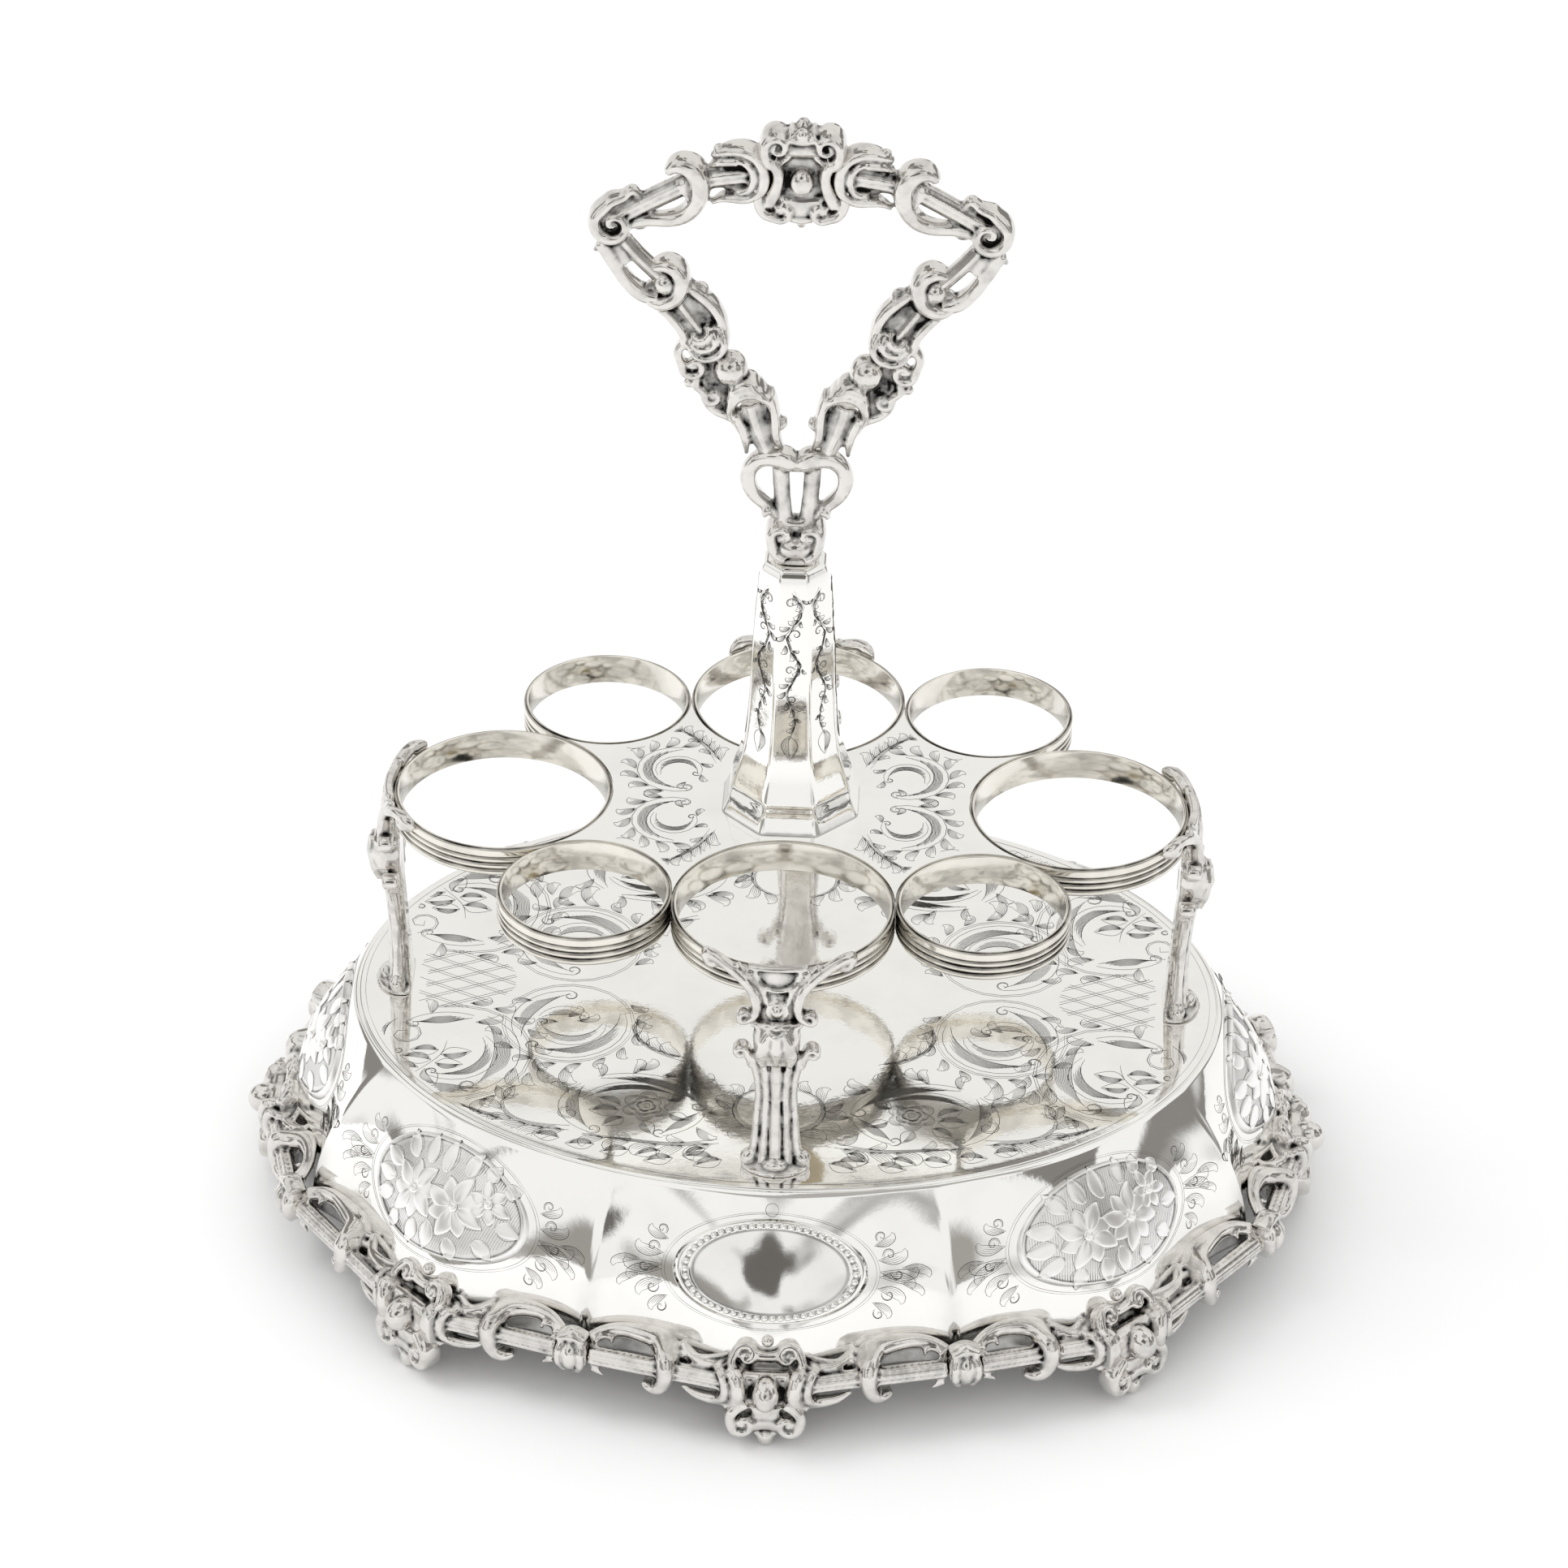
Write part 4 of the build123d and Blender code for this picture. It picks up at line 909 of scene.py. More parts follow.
@dataclass
class Base:
    """The skirt with its medallions and the oval plate on it."""

    wall: float = 1.2
    panel_points: int = 57
    levels: int = 44
    inner_levels: int = 12
    sides: int = 240
    edge_radius: float = 0.5
    edge_inset: float = 0.55
    worn: complex = 33.0 - 47.0j
    worn_reach: float = 11.0
    # Share of the skirt's height over its foot under which it darkens: oxide, with painted shade behind the
    # border
    foot_shade_and_oxide: float = 0.2

    def skirt(self) -> None:
        """Skirt as one closed sheet: outside from the plate to the foot, then inside up again."""
        drops = np.linspace(0, 1, self.levels)
        outer = np.concatenate([LINES.sheet(i, drops, 0, self.panel_points)[:, :-1] for i in range(8)],
            axis=1)
        inner = np.concatenate([LINES.sheet(i, np.linspace(1, 0, self.inner_levels), self.wall,
            self.panel_points)[:, :-1] for i in range(8)], axis=1)
        grid = np.concatenate([outer, inner])
        skin = looped(grid[::-1])
        level = (grid[::-1, :, 2] - LINES.foot) / (LINES.top - LINES.foot)
        # Low on the skirt, behind the border: oxide with painted shade.
        foot = np.clip((self.foot_shade_and_oxide - level) / 0.045, 0, 1) * 0.72
        # Painted shadow line along each crest of the skirt, from mid height down to the foot.
        step = np.arange(grid.shape[1]) % (self.panel_points - 1)
        crest = np.minimum(step, self.panel_points - 1 - step)
        crest_shadow = np.exp(-(crest / 1.6) ** 2)[None, :] * np.clip(0.5 - level, 0, 1) * 0.9
        mesh = make_mesh("base_skirt_dressed", skin)
        place("skirt", mesh, np.clip(foot + crest_shadow, 0, 1).ravel(), POLISHED, ["base_skirt"])

    def plate(self) -> None:
        """Oval plate with a rounded edge: rings of the oval carried through its section."""
        turn = np.linspace(0, pi / 2, 7)
        r = self.edge_radius
        inset = np.concatenate([np.linspace(PLATE_WIDE - 3, 4, 24), [3.0], r - r * np.sin(turn),
            [0.0, 1.0, 40.0]])
        inset = inset + self.edge_inset
        height = np.concatenate([np.full(25, PLATE_TOP), PLATE_TOP - r + r * np.cos(turn),
            [PLATE_TOP - PLATE_THICK] * 3])
        angle = turns_of(self.sides)
        share = 1 - inset[:, None] / PLATE_WIDE
        x = PLATE_LONG * share * np.cos(angle)
        y = PLATE_WIDE * share * np.sin(angle)
        z = np.repeat(height[:, None], self.sides, axis=1)
        grid = np.stack([x, y, z], axis=-1)[::-1]
        mesh = make_mesh("base_plate_dressed", capped(grid))
        spot = np.abs(np.abs(grid[..., 0]) + 1j * grid[..., 1] - self.worn)
        patina = 0.2 * np.clip(1.3 - spot / self.worn_reach, 0, 1) * (grid[..., 2] > PLATE_TOP - 0.1)
        place("plate", mesh, np.concatenate([patina.ravel(), [0.0, 0.0]]), POLISHED, ["base_plate"],
            sharp=35.0)

    def medallions(self) -> None:
        """The eight ovals with their beads or flowers."""
        for index, name in enumerate(LINES.names):
            oval = Medallion(index)
            skin, oxide_and_shade = oval.surface()
            mesh = make_mesh("medallion_" + name, skin)
            place("medallion_" + name, mesh, oxide_and_shade, POLISHED if oval.plain else MATTED, sharp=40.0)
            relief = oval.beads() if oval.plain else oval.petals()
            detail = make_mesh("medallion_relief_" + name, Skin.joined(relief))
            place("medallion_relief_" + name, detail, oval.outline(vertex_array(detail, "co")),
                POLISHED if oval.plain else MATTED)

    def build(self) -> None:
        """Make the whole base."""
        self.skirt()
        self.plate()
        self.medallions()


@dataclass
class Border:
    """Cast border of eight segments, eight knots at the crests and eight scroll feet."""

    rod: float = 2.45
    knot_half: float = 3.4
    # Level under which the ground behind the straps darkens: painted shade with oxide
    bed: float = -1.6
    lean_back: float = 5.0
    lean_drop: float = 3.3
    bow_lean: float = 36.0

    @staticmethod
    def upright(point: complex, right: complex) -> Seat:
        """Upright plane through a point of the rod."""
        return Seat((point.real, point.imag, BORDER_HEIGHT), (right.real, right.imag, 0.0))

    def seat(self, index: int) -> Seat:
        """Upright plane through a jewel, seen from outside."""
        jewel = LINES.jewels[index]
        return self.upright(jewel, jewel / abs(jewel) * 1j)

    def bow_seat(self, index: int) -> Seat:
        """Plane through a jewel that lies back as the foot of the skirt does."""
        seat = self.seat(index)
        lean = radians(self.bow_lean)
        up = cos(lean) * np.asarray(seat.up) - sin(lean) * seat.outward
        return Seat(seat.origin, seat.right, tuple(up))

    def half_seat(self, index: int, side: int) -> Tuple[Seat, float]:
        """Upright plane from a jewel along the rod to one of its knots, and the run of it."""
        jewel = LINES.jewels[index]
        knot = LINES.knots[index] if side < 0 else LINES.knots[(index + 1) % 8]
        run = abs(knot - jewel)
        return self.upright(jewel, (knot - jewel) / run * side), run

    def half(self, index: int, side: int) -> List[Skin]:
        """Rod, crescents, hanging wave, open loop strap and leaf spurs of one side."""
        seat, run = self.half_seat(index, side)
        cast = Casting(seat, 1.1, self.lean_back, self.lean_drop, side)
        lay = cast.strap
        end = run - self.knot_half - 0.6
        lay([7.4+0j, 13+0.1j, run * 0.6 + 0j, end + 0j], self.rod, self.rod,
            flutes=8, depth=0.2, sides=32, count=30)
        lay([9+5.8j, 6.9+4j, 5.7+0j, 6.8-3.8j, 9-5.6j], [0.9, 1.6, 1.9, 1.6, 0.9],
            [2.6, 3.9, 4.6, 3.9, 2.6], sides=24, count=40)
        lay([11.6+4.8j, 9.8+3.4j, 8.8+0j, 9.7-3.2j, 11.8-4.5j], [0.7, 1.1, 1.2, 1.1, 0.7],
            [2.3, 3.4, 3.9, 3.4, 2.3], sides=24, count=40)
        tip = run * 0.455
        lay([5.8+10.2j, 7.4+7.6j, 9.4+5.2j, tip - 6.4 + 3.6j, tip - 2.0 + 4.6j, tip + 0.2 + 7.6j,
            tip - 0.7 + 9.4j], [0.7, 0.9, 0.85, 0.75, 0.75, 0.6, 0.3], [1.6, 1.9, 1.9, 1.7, 1.5, 1.2, 0.6],
            [-2.2, -1.8, -1.2, -1, -1.1, -1.7, -2], count=50)
        lay([8.2+6j, 11.4+4j, tip - 5.0 + 2.6j, tip + 2.0 + 2.6j], 1.5, 0.8, -2.6)
        grip = run * 0.53
        lay([end + 0.8 + 4.2j, end - 3.0 + 6.9j, grip + 6.4 + 8.0j, grip + 1.6 + 6.9j, grip - 0.8 + 3.2j,
            grip - 0.9 - 1.2j, grip + 0.6 - 4.2j, grip + 2.8 - 5.1j, grip + 4.8 - 4.2j],
            [1.3, 1.5, 1.6, 1.7, 1.9, 2, 2, 1.5, 0.6], [1.3, 1.4, 1.6, 2.3, 3.2, 3.8, 3.8, 3, 1.2],
            [-0.2, -0.2, -0.2, 0, 0.2], count=80, sides=24)
        lay([grip - 1.6 + 5.4j, grip - 2.8 + 6.6j, grip - 4.2 + 6.4j], [0.8, 0.6, 0.3],
            [1.2, 0.9, 0.4], -1.2)
        lay([9.4-4.4j, 12.6-4.6j, 16-4.3j, 19.6-2.9j], [1.1, 1.15, 0.9, 0.3], [1.7, 1.5, 1.2, 0.4], 0.6)
        lay([14.6-4.4j, 16.6-6j], [0.9, 0.2], [0.8, 0.2], 0.6)
        lay([end - 0.8 - 2.6j, end - 3.4 - 4.6j], [1, 0.25], [0.9, 0.25], 0.8)
        lay([end - 0.2 + 4.0j, end - 2.2 + 6.0j, end - 4.2 + 5.6j, end - 4.4 + 4.2j], [0.9, 0.8, 0.7, 0.3],
            [1.4, 1.2, 1, 0.6], 0.2)
        return cast.skins

    def segment(self, index: int) -> None:
        """One border casting: jewel in its niche, double scroll over it and both sides."""
        cast = Casting(self.seat(index), 1.12, self.lean_back, self.lean_drop)
        cast.bead(0.2j, (3.2, 4.1, 4.4), 1.7)
        cast.strap([-8.5-0.4j, 8.5-0.4j], 3.9, 2.4, -1.2, count=14)
        bow = Casting(self.bow_seat(index), 1.1)
        bow.strap([-6.4+6.4j, 6.4+6.4j], 2.6, 0.8, -1.4, count=14)
        bow.strap([6.6+3.4j, 7.9+5.6j] + spiral(4.7+7.4j, 2.7, 0.4, 5, 430, 12),
            [0.8, 0.95, 1, 0.95, 0.8, 0.6, 0.4], [1.8, 2.2, 2.2, 2.1, 2, 1.8, 1.6], -0.2, True, 70)
        bow.bead(4.7+7.4j, (0.8, 0.8, 1.7), 0, True)
        bow.strap([-3.7+8j, 7.4j, 3.7+8j], [1.2, 0.9, 1.2], 1.5, 0, count=20)
        bow.bead(10.9j, 1.5, 0.2)
        cast.strap([-2.2-4.6j, 0-5j, 2.2-4.6j], 0.7, 1.9, -0.4)
        skins = cast.skins + bow.skins + self.half(index, -1) + self.half(index, 1)
        name = LINES.names[index]
        mesh = cast_mesh("border_" + name + "_dressed", Skin.joined(skins))
        oxide_and_shade = hollow_share(mesh)
        points = vertex_array(mesh, "co")
        # The ground below the rod and straps, laid back with them, takes painted shade with oxide.
        laid = (points[:, 2] - BORDER_HEIGHT - 2) / (6.0 - self.lean_drop)
        bed = self.bed - self.lean_back * np.clip(laid, 0.0, 1.6)
        for side in (-1, 1):
            seat, _ = self.half_seat(index, side)
            beside = seat.local(points)[0].real * side > 0
            oxide_and_shade = np.maximum(oxide_and_shade, sunk_shade_and_oxide(mesh, seat, bed, False) * beside)
        place("scroll_border_" + name, mesh, oxide_and_shade, CAST, ["border_" + name])

    def foot(self, index: int) -> None:
        """One foot: two scrolls that curl inwards, a saddle and a bead, cut level below."""
        cast = Casting(self.seat(index), 1.22)
        cast.strap([4.2-3j, 6.4-4.3j, 7.9-6.4j] + spiral(5.1-8.8j, 2.8, 0.5, 10, -440),
            [1.2, 1.2, 1.1, 0.95, 0.7, 0.5], [2.4, 3, 3, 2.8, 2.6, 2.2], 0, True, 60)
        cast.bead(5.1-8.8j, (0.8, 0.8, 2.9), 0, True)
        cast.strap([-3.2-9.4j, 0-8.8j, 3.2-9.4j], 1.3, 2.1)
        cast.strap([0-4.2j, 0-7.5j], [3, 2.6], [1.9, 1.7], count=8)
        cast.strap([0-9j, 0-12j], 1.4, 1.4, count=6)
        cast.bead(-13.0j, (2.1, 2.4, 2.1))
        for lobe in (-1.8, 1.8):
            cast.bead(complex(lobe, -11.4), (1, 1.2, 1.2), 0.4)
        skin = cast.skin()
        skin.points[:, 2] = np.clip(skin.points[:, 2], 0.0, BORDER_HEIGHT - 2.0)
        name = LINES.names[index]
        mesh = cast_mesh("foot_" + name + "_dressed", skin)
        flat_points = vertex_array(mesh, "co")
        flat_points[:, 2] = np.maximum(flat_points[:, 2], 0.0)
        mesh.vertices.foreach_set("co", flat_points.ravel())
        place("scroll_foot_" + name, mesh, hollow_share(mesh), CAST, ["foot_" + name])

    def knots(self) -> None:
        """All the knots as one piece: a short rod, two bands, a curled crown and leaf spurs."""
        skins: List[Skin] = []
        for index, knot in enumerate(LINES.knots):
            along = LINES.jewels[index] - LINES.jewels[index - 1]
            cast = Casting(self.upright(knot, along / abs(along)))
            cast.strap([-3.4+0j, 0j, 3.4+0j], 2.3, 2.3, flutes=8, depth=0.15, sides=32, count=12)
            for side in (-1, 1):
                cast.strap([side * 1.4 + 4.2j, side * 2.5 + 1.8j, side * 2.5 - 1.8j, side * 1.4 - 4.2j],
                    [0.8, 1.2, 1.2, 0.7], [2.6, 3.8, 3.8, 2.4])
                cast.strap(spiral(complex(side * 1.6, 3.4), 1.5, 0.4, 270, side * 400, 8), [0.7, 0.6, 0.4],
                    [1.5, 1.3, 1], 0.6, count=30)
                cast.strap([side * 0.8 - 3.0j, side * 2.2 - 4.6j], [0.9, 0.25], [0.9, 0.25], 1.4, count=8)
            cast.bead(0.4j, (2.5, 4.2, 3.6), 1)
            cast.bead(5.0j, (2, 1.9, 2), 0.6)
            cast.strap([-3.2+4.2j, 5.4j, 3.2+4.2j], 1, 2.4, 0.2)
            skins += cast.skins
        mesh = cast_mesh("border_knots_dressed", Skin.joined(skins))
        place("scroll_knots", mesh, hollow_share(mesh), CAST, ["border_knots"])

    def build(self) -> None:
        """Make the border, its knots and the feet."""
        for index in range(8):
            self.segment(index)
            self.foot(index)
        self.knots()


@dataclass
class Rings:
    """Eight reeded bottle rings, flush with the deck."""

    height: float = 7.5
    wall: float = 1.2
    lip_share: float = 0.3
    sides: int = 192

    def band(self, name: str) -> None:
        """One ring: a section with a flat lip and three reeds, turned about its axis."""
        low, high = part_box(name)
        centre = ((low.x + high.x) / 2 / METRE, (low.y + high.y) / 2 / METRE)
        radius = (high.x - low.x) / 2 / METRE
        level = np.linspace(0, 1, 61)
        lip = np.sqrt(np.maximum(1 - np.abs(level / self.lip_share * 2 - 1) ** 6, 0))
        reed = np.abs(np.sin((level - self.lip_share) / (1 - self.lip_share) * 3 * pi)) ** 0.7
        wave = np.where(level < self.lip_share, lip, reed)
        outer = radius - 0.62 + 0.62 * wave
        outer_z = DECK - 0.25 - level * (self.height - 0.45)
        bore = radius - self.wall
        r = np.concatenate([[bore + 0.02, bore + 0.3, radius - 0.7], outer,
            [radius - 0.8, bore + 0.3, bore]])
        z = np.concatenate([[DECK - 0.2, DECK, DECK], outer_z, [DECK - self.height] * 2,
            [DECK - self.height + 0.3]])
        grid = about_axis(r[:, None], turns_of(self.sides), z[:, None]) + np.array([*centre, 0.0])
        groove = np.concatenate([[0.0, 0.0, 0.2], np.minimum(1.35 * (1 - wave) ** 1.1, 1), [0.6, 0.1, 0.0]])
        mesh = make_mesh(name + "_dressed", looped(grid[::-1]))
        place(name.replace("ring_", "bottle_band_"), mesh, np.repeat(groove[::-1], self.sides), RING, [name],
            sharp=50.0)

    def build(self) -> None:
        """Make all the rings."""
        for name in sorted(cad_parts):
            if name.startswith("ring_"):
                self.band(name)


@dataclass
class Stem:
    """Eight-sided trumpet with softened edges and a rounded shoulder."""

    height: float = 64.7
    shares: Tuple[float, ...] = (0.0, 0.02, 0.1, 0.23, 0.38, 0.62, 0.9, 0.975, 1.0)
    halves: Tuple[float, ...] = (16.6, 15.2, 13.6, 11.2, 10.0, 9.3, 8.1, 7.4, 6.0)
    soft: float = 70.0
    wall: float = 1.4
    hole: float = 2.3
    sides: int = 240

    def half_width(self, height: Array) -> Array:
        """Half width across flats at a height over the deck.

        Above the foot band it follows the shares of the stem through a smooth curve; the
        band itself is nearly upright.
        """
        body = list(zip(self.shares, self.halves))[2:7]
        line = smooth_line([complex(share * self.height, half) for share, half in body], 200)
        wide = np.interp(height, line.real, line.imag)
        top_start = self.shares[6] * self.height
        t = np.clip((height - top_start) / (self.height - top_start), 0, 1)
        narrow = self.halves[6] - self.halves[8]
        shoulder = self.halves[6] - narrow * (1 - np.sqrt(np.maximum(1 - t ** 2, 0)))
        wide = np.where(height > top_start, shoulder, wide)
        foot = self.shares[2] * self.height
        s = np.clip(height / foot, 0, 1)
        flare = self.halves[2] + (self.halves[1] + 0.3 - self.halves[2]) * (1 - s) ** 1.6
        return np.where(height < foot, flare, wide)

    def radius(self, height: Array, angle: Array) -> Array:
        """Distance from the axis: the eight flats joined by a soft maximum of their lines."""
        flats = turns_of(8)
        facing = np.cos(angle[..., None] - flats)
        sharp = (np.maximum(facing, 0) ** self.soft).sum(axis=-1) ** (1 / self.soft)
        return self.half_width(height) / sharp

    def build(self) -> None:
        """Outside from the deck up, then the hollow inside down again, closed at both ends."""
        level = np.concatenate([np.linspace(0, 4, 14), np.linspace(4.6, 57, 60),
            np.linspace(57.6, 64.69, 24)])
        lower = level[level < self.height - 4][::-1, None]
        level = level[:, None]
        angle = turns_of(self.sides)
        outer = about_axis(self.radius(level, angle), angle, level + DECK)
        inner = about_axis(self.radius(lower, angle) - self.wall, angle, lower + DECK)
        top = about_axis(self.hole, angle, DECK + self.height)
        grid = np.concatenate([outer, top[None], top[None] - np.array([0, 0, 3.0]), inner])
        mesh = make_mesh("stem_dressed", looped(grid))
        foot = np.clip((0.6 - grid[..., 2] + DECK) / 0.6, 0, 1) * 0.5
        place("octagonal_stem", mesh, foot.ravel(), POLISHED, ["stem"])


@dataclass
class Handle:
    """Open pear-shaped handle: collar, fork, arms, sides and crest, each its own casting."""

    seat: Seat = Seat((0.0, 0.0, DECK), (1.0, 0.0, 0.0))
    swell: float = 1.3
    # Level and greatest share of the painted shade, with oxide, on the webs and ground under the straps
    bed: float = 1.7
    sunk_shade_most: float = 0.92
    leaf_reach: float = 6.2
    spine: Tuple[complex, ...] = (3.4+72j, 4.6+84j, 9+98j, 15.4+111j, 21.4+124j, 30+134j, 38.6+142j,
        40.4+147.8j, 32+153.4j, 22+158.4j, 9+160.6j, 160.6j)

    def inside(self, flat: Array) -> Array:
        """How near flat points lie to the handle's middle line, from 1 to 0 at its leaf tips."""
        turns = smooth_line(self.spine, 160)
        near = np.min(np.abs(flat[:, None] - turns[None, :]), axis=1)
        return np.clip((self.leaf_reach - near) / 1.2, 0, 1)

    def finish(self, name: str, cast: Casting, node: str) -> None:
        """Melt a casting and put it in place of its solid."""
        mesh = cast_mesh(name + "_dressed", cast.skin())
        points = vertex_array(mesh, "co")
        inner = self.inside(np.abs(points[:, 0]) + 1j * (points[:, 2] - DECK))
        # Webs and ground under the straps near the middle line take painted shade with oxide.
        sunk_shade = self.sunk_shade_most * inner * sunk_shade_and_oxide(mesh, self.seat, self.bed, True)
        place(name, mesh, np.maximum(hollow_share(mesh), sunk_shade), CAST, [node])

    def collar(self) -> None:
        """Bowl on the stem with two scrolls that curl inwards over a hollow."""
        cast = Casting(self.seat, self.swell)
        cast.bead(68.4j, (5.2, 3.6, 5))
        cast.strap([-4.2+65.6j, 65.4j, 4.2+65.6j], 1, 4.2, count=10)
        cast.strap([2.4+66j, 4.7+67.6j, 5.3+70j] + spiral(3.3+71.3j, 2.2, 0.5, 20, 360, 7),
            [1.1, 1.1, 1, 0.9, 0.8], [4.8, 4.8, 4.4, 3.8, 3.4], 0, True, 50)
        cast.bead(3.2+71.2j, (1, 1, 4), 0, True)
        cast.strap([-1.4+72.6j, 1.4+72.6j], 1.6, 2.2, count=6)
        self.finish("collar_scrolls", cast, "stem_collar")

    def fork(self) -> None:
        """Two pillars, two heart-shaped open loops and the bar that joins them."""
        cast = Casting(self.seat, self.swell)
        lay = cast.strap
        lay([2.5+73.4j, 3+79j, 3.6+88.6j], [2.3, 2.1, 2.2], [2.2, 1.9, 2.1], both=True, flutes=6, depth=0.12,
            sides=24)
        lay([75.0j, 73.8j], [3.2, 3.4], [2.2, 2.6], count=6)
        lay([1+89j, 4.2+90.3j, 7.4+90.2j, 10.2+87.6j, 10.6+83.6j, 8.6+80j, 6+77.6j, 4.4+75.6j],
            [1.5, 1.6, 1.5, 1.4, 1.4, 1.3, 1.1, 0.9], [2.8, 2.8, 2.4, 2.1, 2, 1.9, 1.8, 1.6], both=True,
            count=40)
        lay([5.4+77.4j, 6.8+76.6j, 7+75.6j], [0.9, 0.8, 0.5], [2.5, 2.4, 2.2], both=True)
        lay([0.2+88.9j, 1.8+90.6j, 4+91.4j, 6+91j], [1, 1.2, 1.1, 0.8], [2.6, 3, 2.6, 2], both=True)
        lay([-3.6+88.4j, 3.6+88.4j], 0.9, 2.2, count=8)
        self.finish("handle_loops", cast, "handle_fork")

    def arm(self, side: int) -> None:
        """Lower arm: two leafy channels, nested crescents, the bead and the scroll plate."""
        cast = Casting(self.seat, self.swell, hand=side)
        lay, dot = cast.strap, cast.bead
        lay([6.6+91.6j, 8.6+97j, 10.6+104j], [2, 2.4, 2.6], [2, 2.2, 2.4], flutes=6, depth=0.22, sides=30)
        lay([6.4+93j, 7.8+98j, 9.4+103.4j], [2.2, 3.2, 3.6], [1, 1.1, 1.2])
        lay([19.2+119.4j, 23.2+125.8j, 28+132j], [3.2, 4, 3.4], [1.1, 1.2, 1.2])
        lay([3.3+92.6j, 4.5+95.4j, 4.9+99j, 5.2+102.4j, 6.2+105.6j], [0.4, 0.8, 0.9, 0.9, 0.8],
            [0.9, 2.2, 2.6, 2.9, 3.2])
        lay([5+98.6j, 3.6+98.4j, 2.9+99.2j, 3.2+100.2j], [0.7, 0.6, 0.6, 0.5], [1.7, 1.5, 1.3, 1])
        lay([11.2+91j, 11.4+94.4j, 12.4+98j, 13.9+101.4j], [0.35, 0.8, 0.9, 0.9], [0.8, 2, 2.4, 2.6])
        axis = np.exp(1j * radians(72))
        for number, (reach, wide) in enumerate(((4.7, 4.1), (3.9, 4.3), (3, 4))):
            centre = 10.1 + 102.6j + axis * (0.2 + 2.1 * number)
            lay(spiral(centre, reach, reach * 0.94, 72 - 104, 208, 7), [0.5, 0.95, 1, 0.95, 0.5],
                [wide * 0.7, wide, wide, wide, wide * 0.7], count=34)
        lay([6.3+106.6j, 5+103.6j, 4.3+101.4j], [0.8, 0.7, 0.4], [3, 2.4, 1.4])
        dot(14.9+112.5j, (3.9, 4.1, 4.1))
        up = np.exp(1j * radians(55.7))
        for number, (reach, wide) in enumerate(((4.3, 4.2), (3, 3.9), (1.9, 3.5))):
            centre = 20.3 + 120.3j + up * (1.0 * number)
            lay(spiral(centre, reach, reach * 0.96, 235.7 - 108, 216, 7), [0.5, 0.85, 0.9, 0.85, 0.5],
                [wide * 0.65, wide, wide, wide, wide * 0.65], count=34)
        lay([19.4+119.2j, 24.2+126j, 29.2+133.2j], [2.3, 2.6, 2.4], [2, 2.2, 2.4],
            flutes=6, depth=0.24, sides=30)
        lay([15.9+120.2j, 16.9+124.6j, 19.2+128.6j, 22.6+131.6j, 25+133.6j],
            [0.7, 1, 1.1, 1, 0.7], [2.6, 2.7, 2.6, 2.6, 2.6])
        lay([20.9+130.2j, 20.6+132j, 22+132.9j, 23.4+132.2j], [0.7, 0.7, 0.5, 0.4], [1.6, 1.4, 1.2, 1])
        lay([24.6+117.4j, 25.2+120.6j, 27.6+124.6j, 31.2+127.6j, 33.2+128.2j],
            [0.7, 0.85, 0.9, 0.8, 0.35], [1.9, 2.2, 2.3, 2.1, 1])
        lay([24.9+118.8j, 26.4+116j] + spiral(22.9+112.9j, 2.9, 0.5, 15, -430),
            [0.8, 0.8, 0.75, 0.65, 0.5], [1.9, 2.1, 2.1, 1.9, 1.6], count=60)
        dot(22.9+112.9j, (0.8, 0.8, 1.9))
        lay([22.2+110j, 22.3+108j, 21+106.8j] + spiral(18.7+105.6j, 2.1, 0.4, 20, -400),
            [0.8, 0.75, 0.7, 0.6, 0.45], [1.8, 1.9, 1.9, 1.7, 1.5], count=60)
        dot(18.7+105.6j, (0.6, 0.6, 1.7))
        dot(24+108.4j, 1.25)
        lay([22.4+108.9j, 23.6+108.6j], 0.7, 0.9, count=6)
        lay([20.4+103.9j, 17.6+101.6j, 14.4+100.2j, 13+97.4j], [0.6, 0.8, 0.9, 0.6], [1.4, 1.8, 2, 1.5])
        dot(18.8+110.4j, (4, 5.2, 1))
        dot(16.6+104.6j, (3, 3.2, 1))
        lay([31.8+137.2j, 28.9+138.1j, 26.1+136.2j, 25.8+132.6j, 27.9+129.7j, 31.2+128.9j, 33.6+130.2j],
            [0.8, 1.3, 1.5, 1.5, 1.5, 1.3, 0.8], [2.6, 3.6, 4.1, 4.2, 4.1, 3.6, 2.6], count=44)
        dot(29.2+133.4j, (3, 3, 3.6))
        which = "right" if side > 0 else "left"
        self.finish("handle_lower_arm_" + which, cast, "handle_arm_" + which)

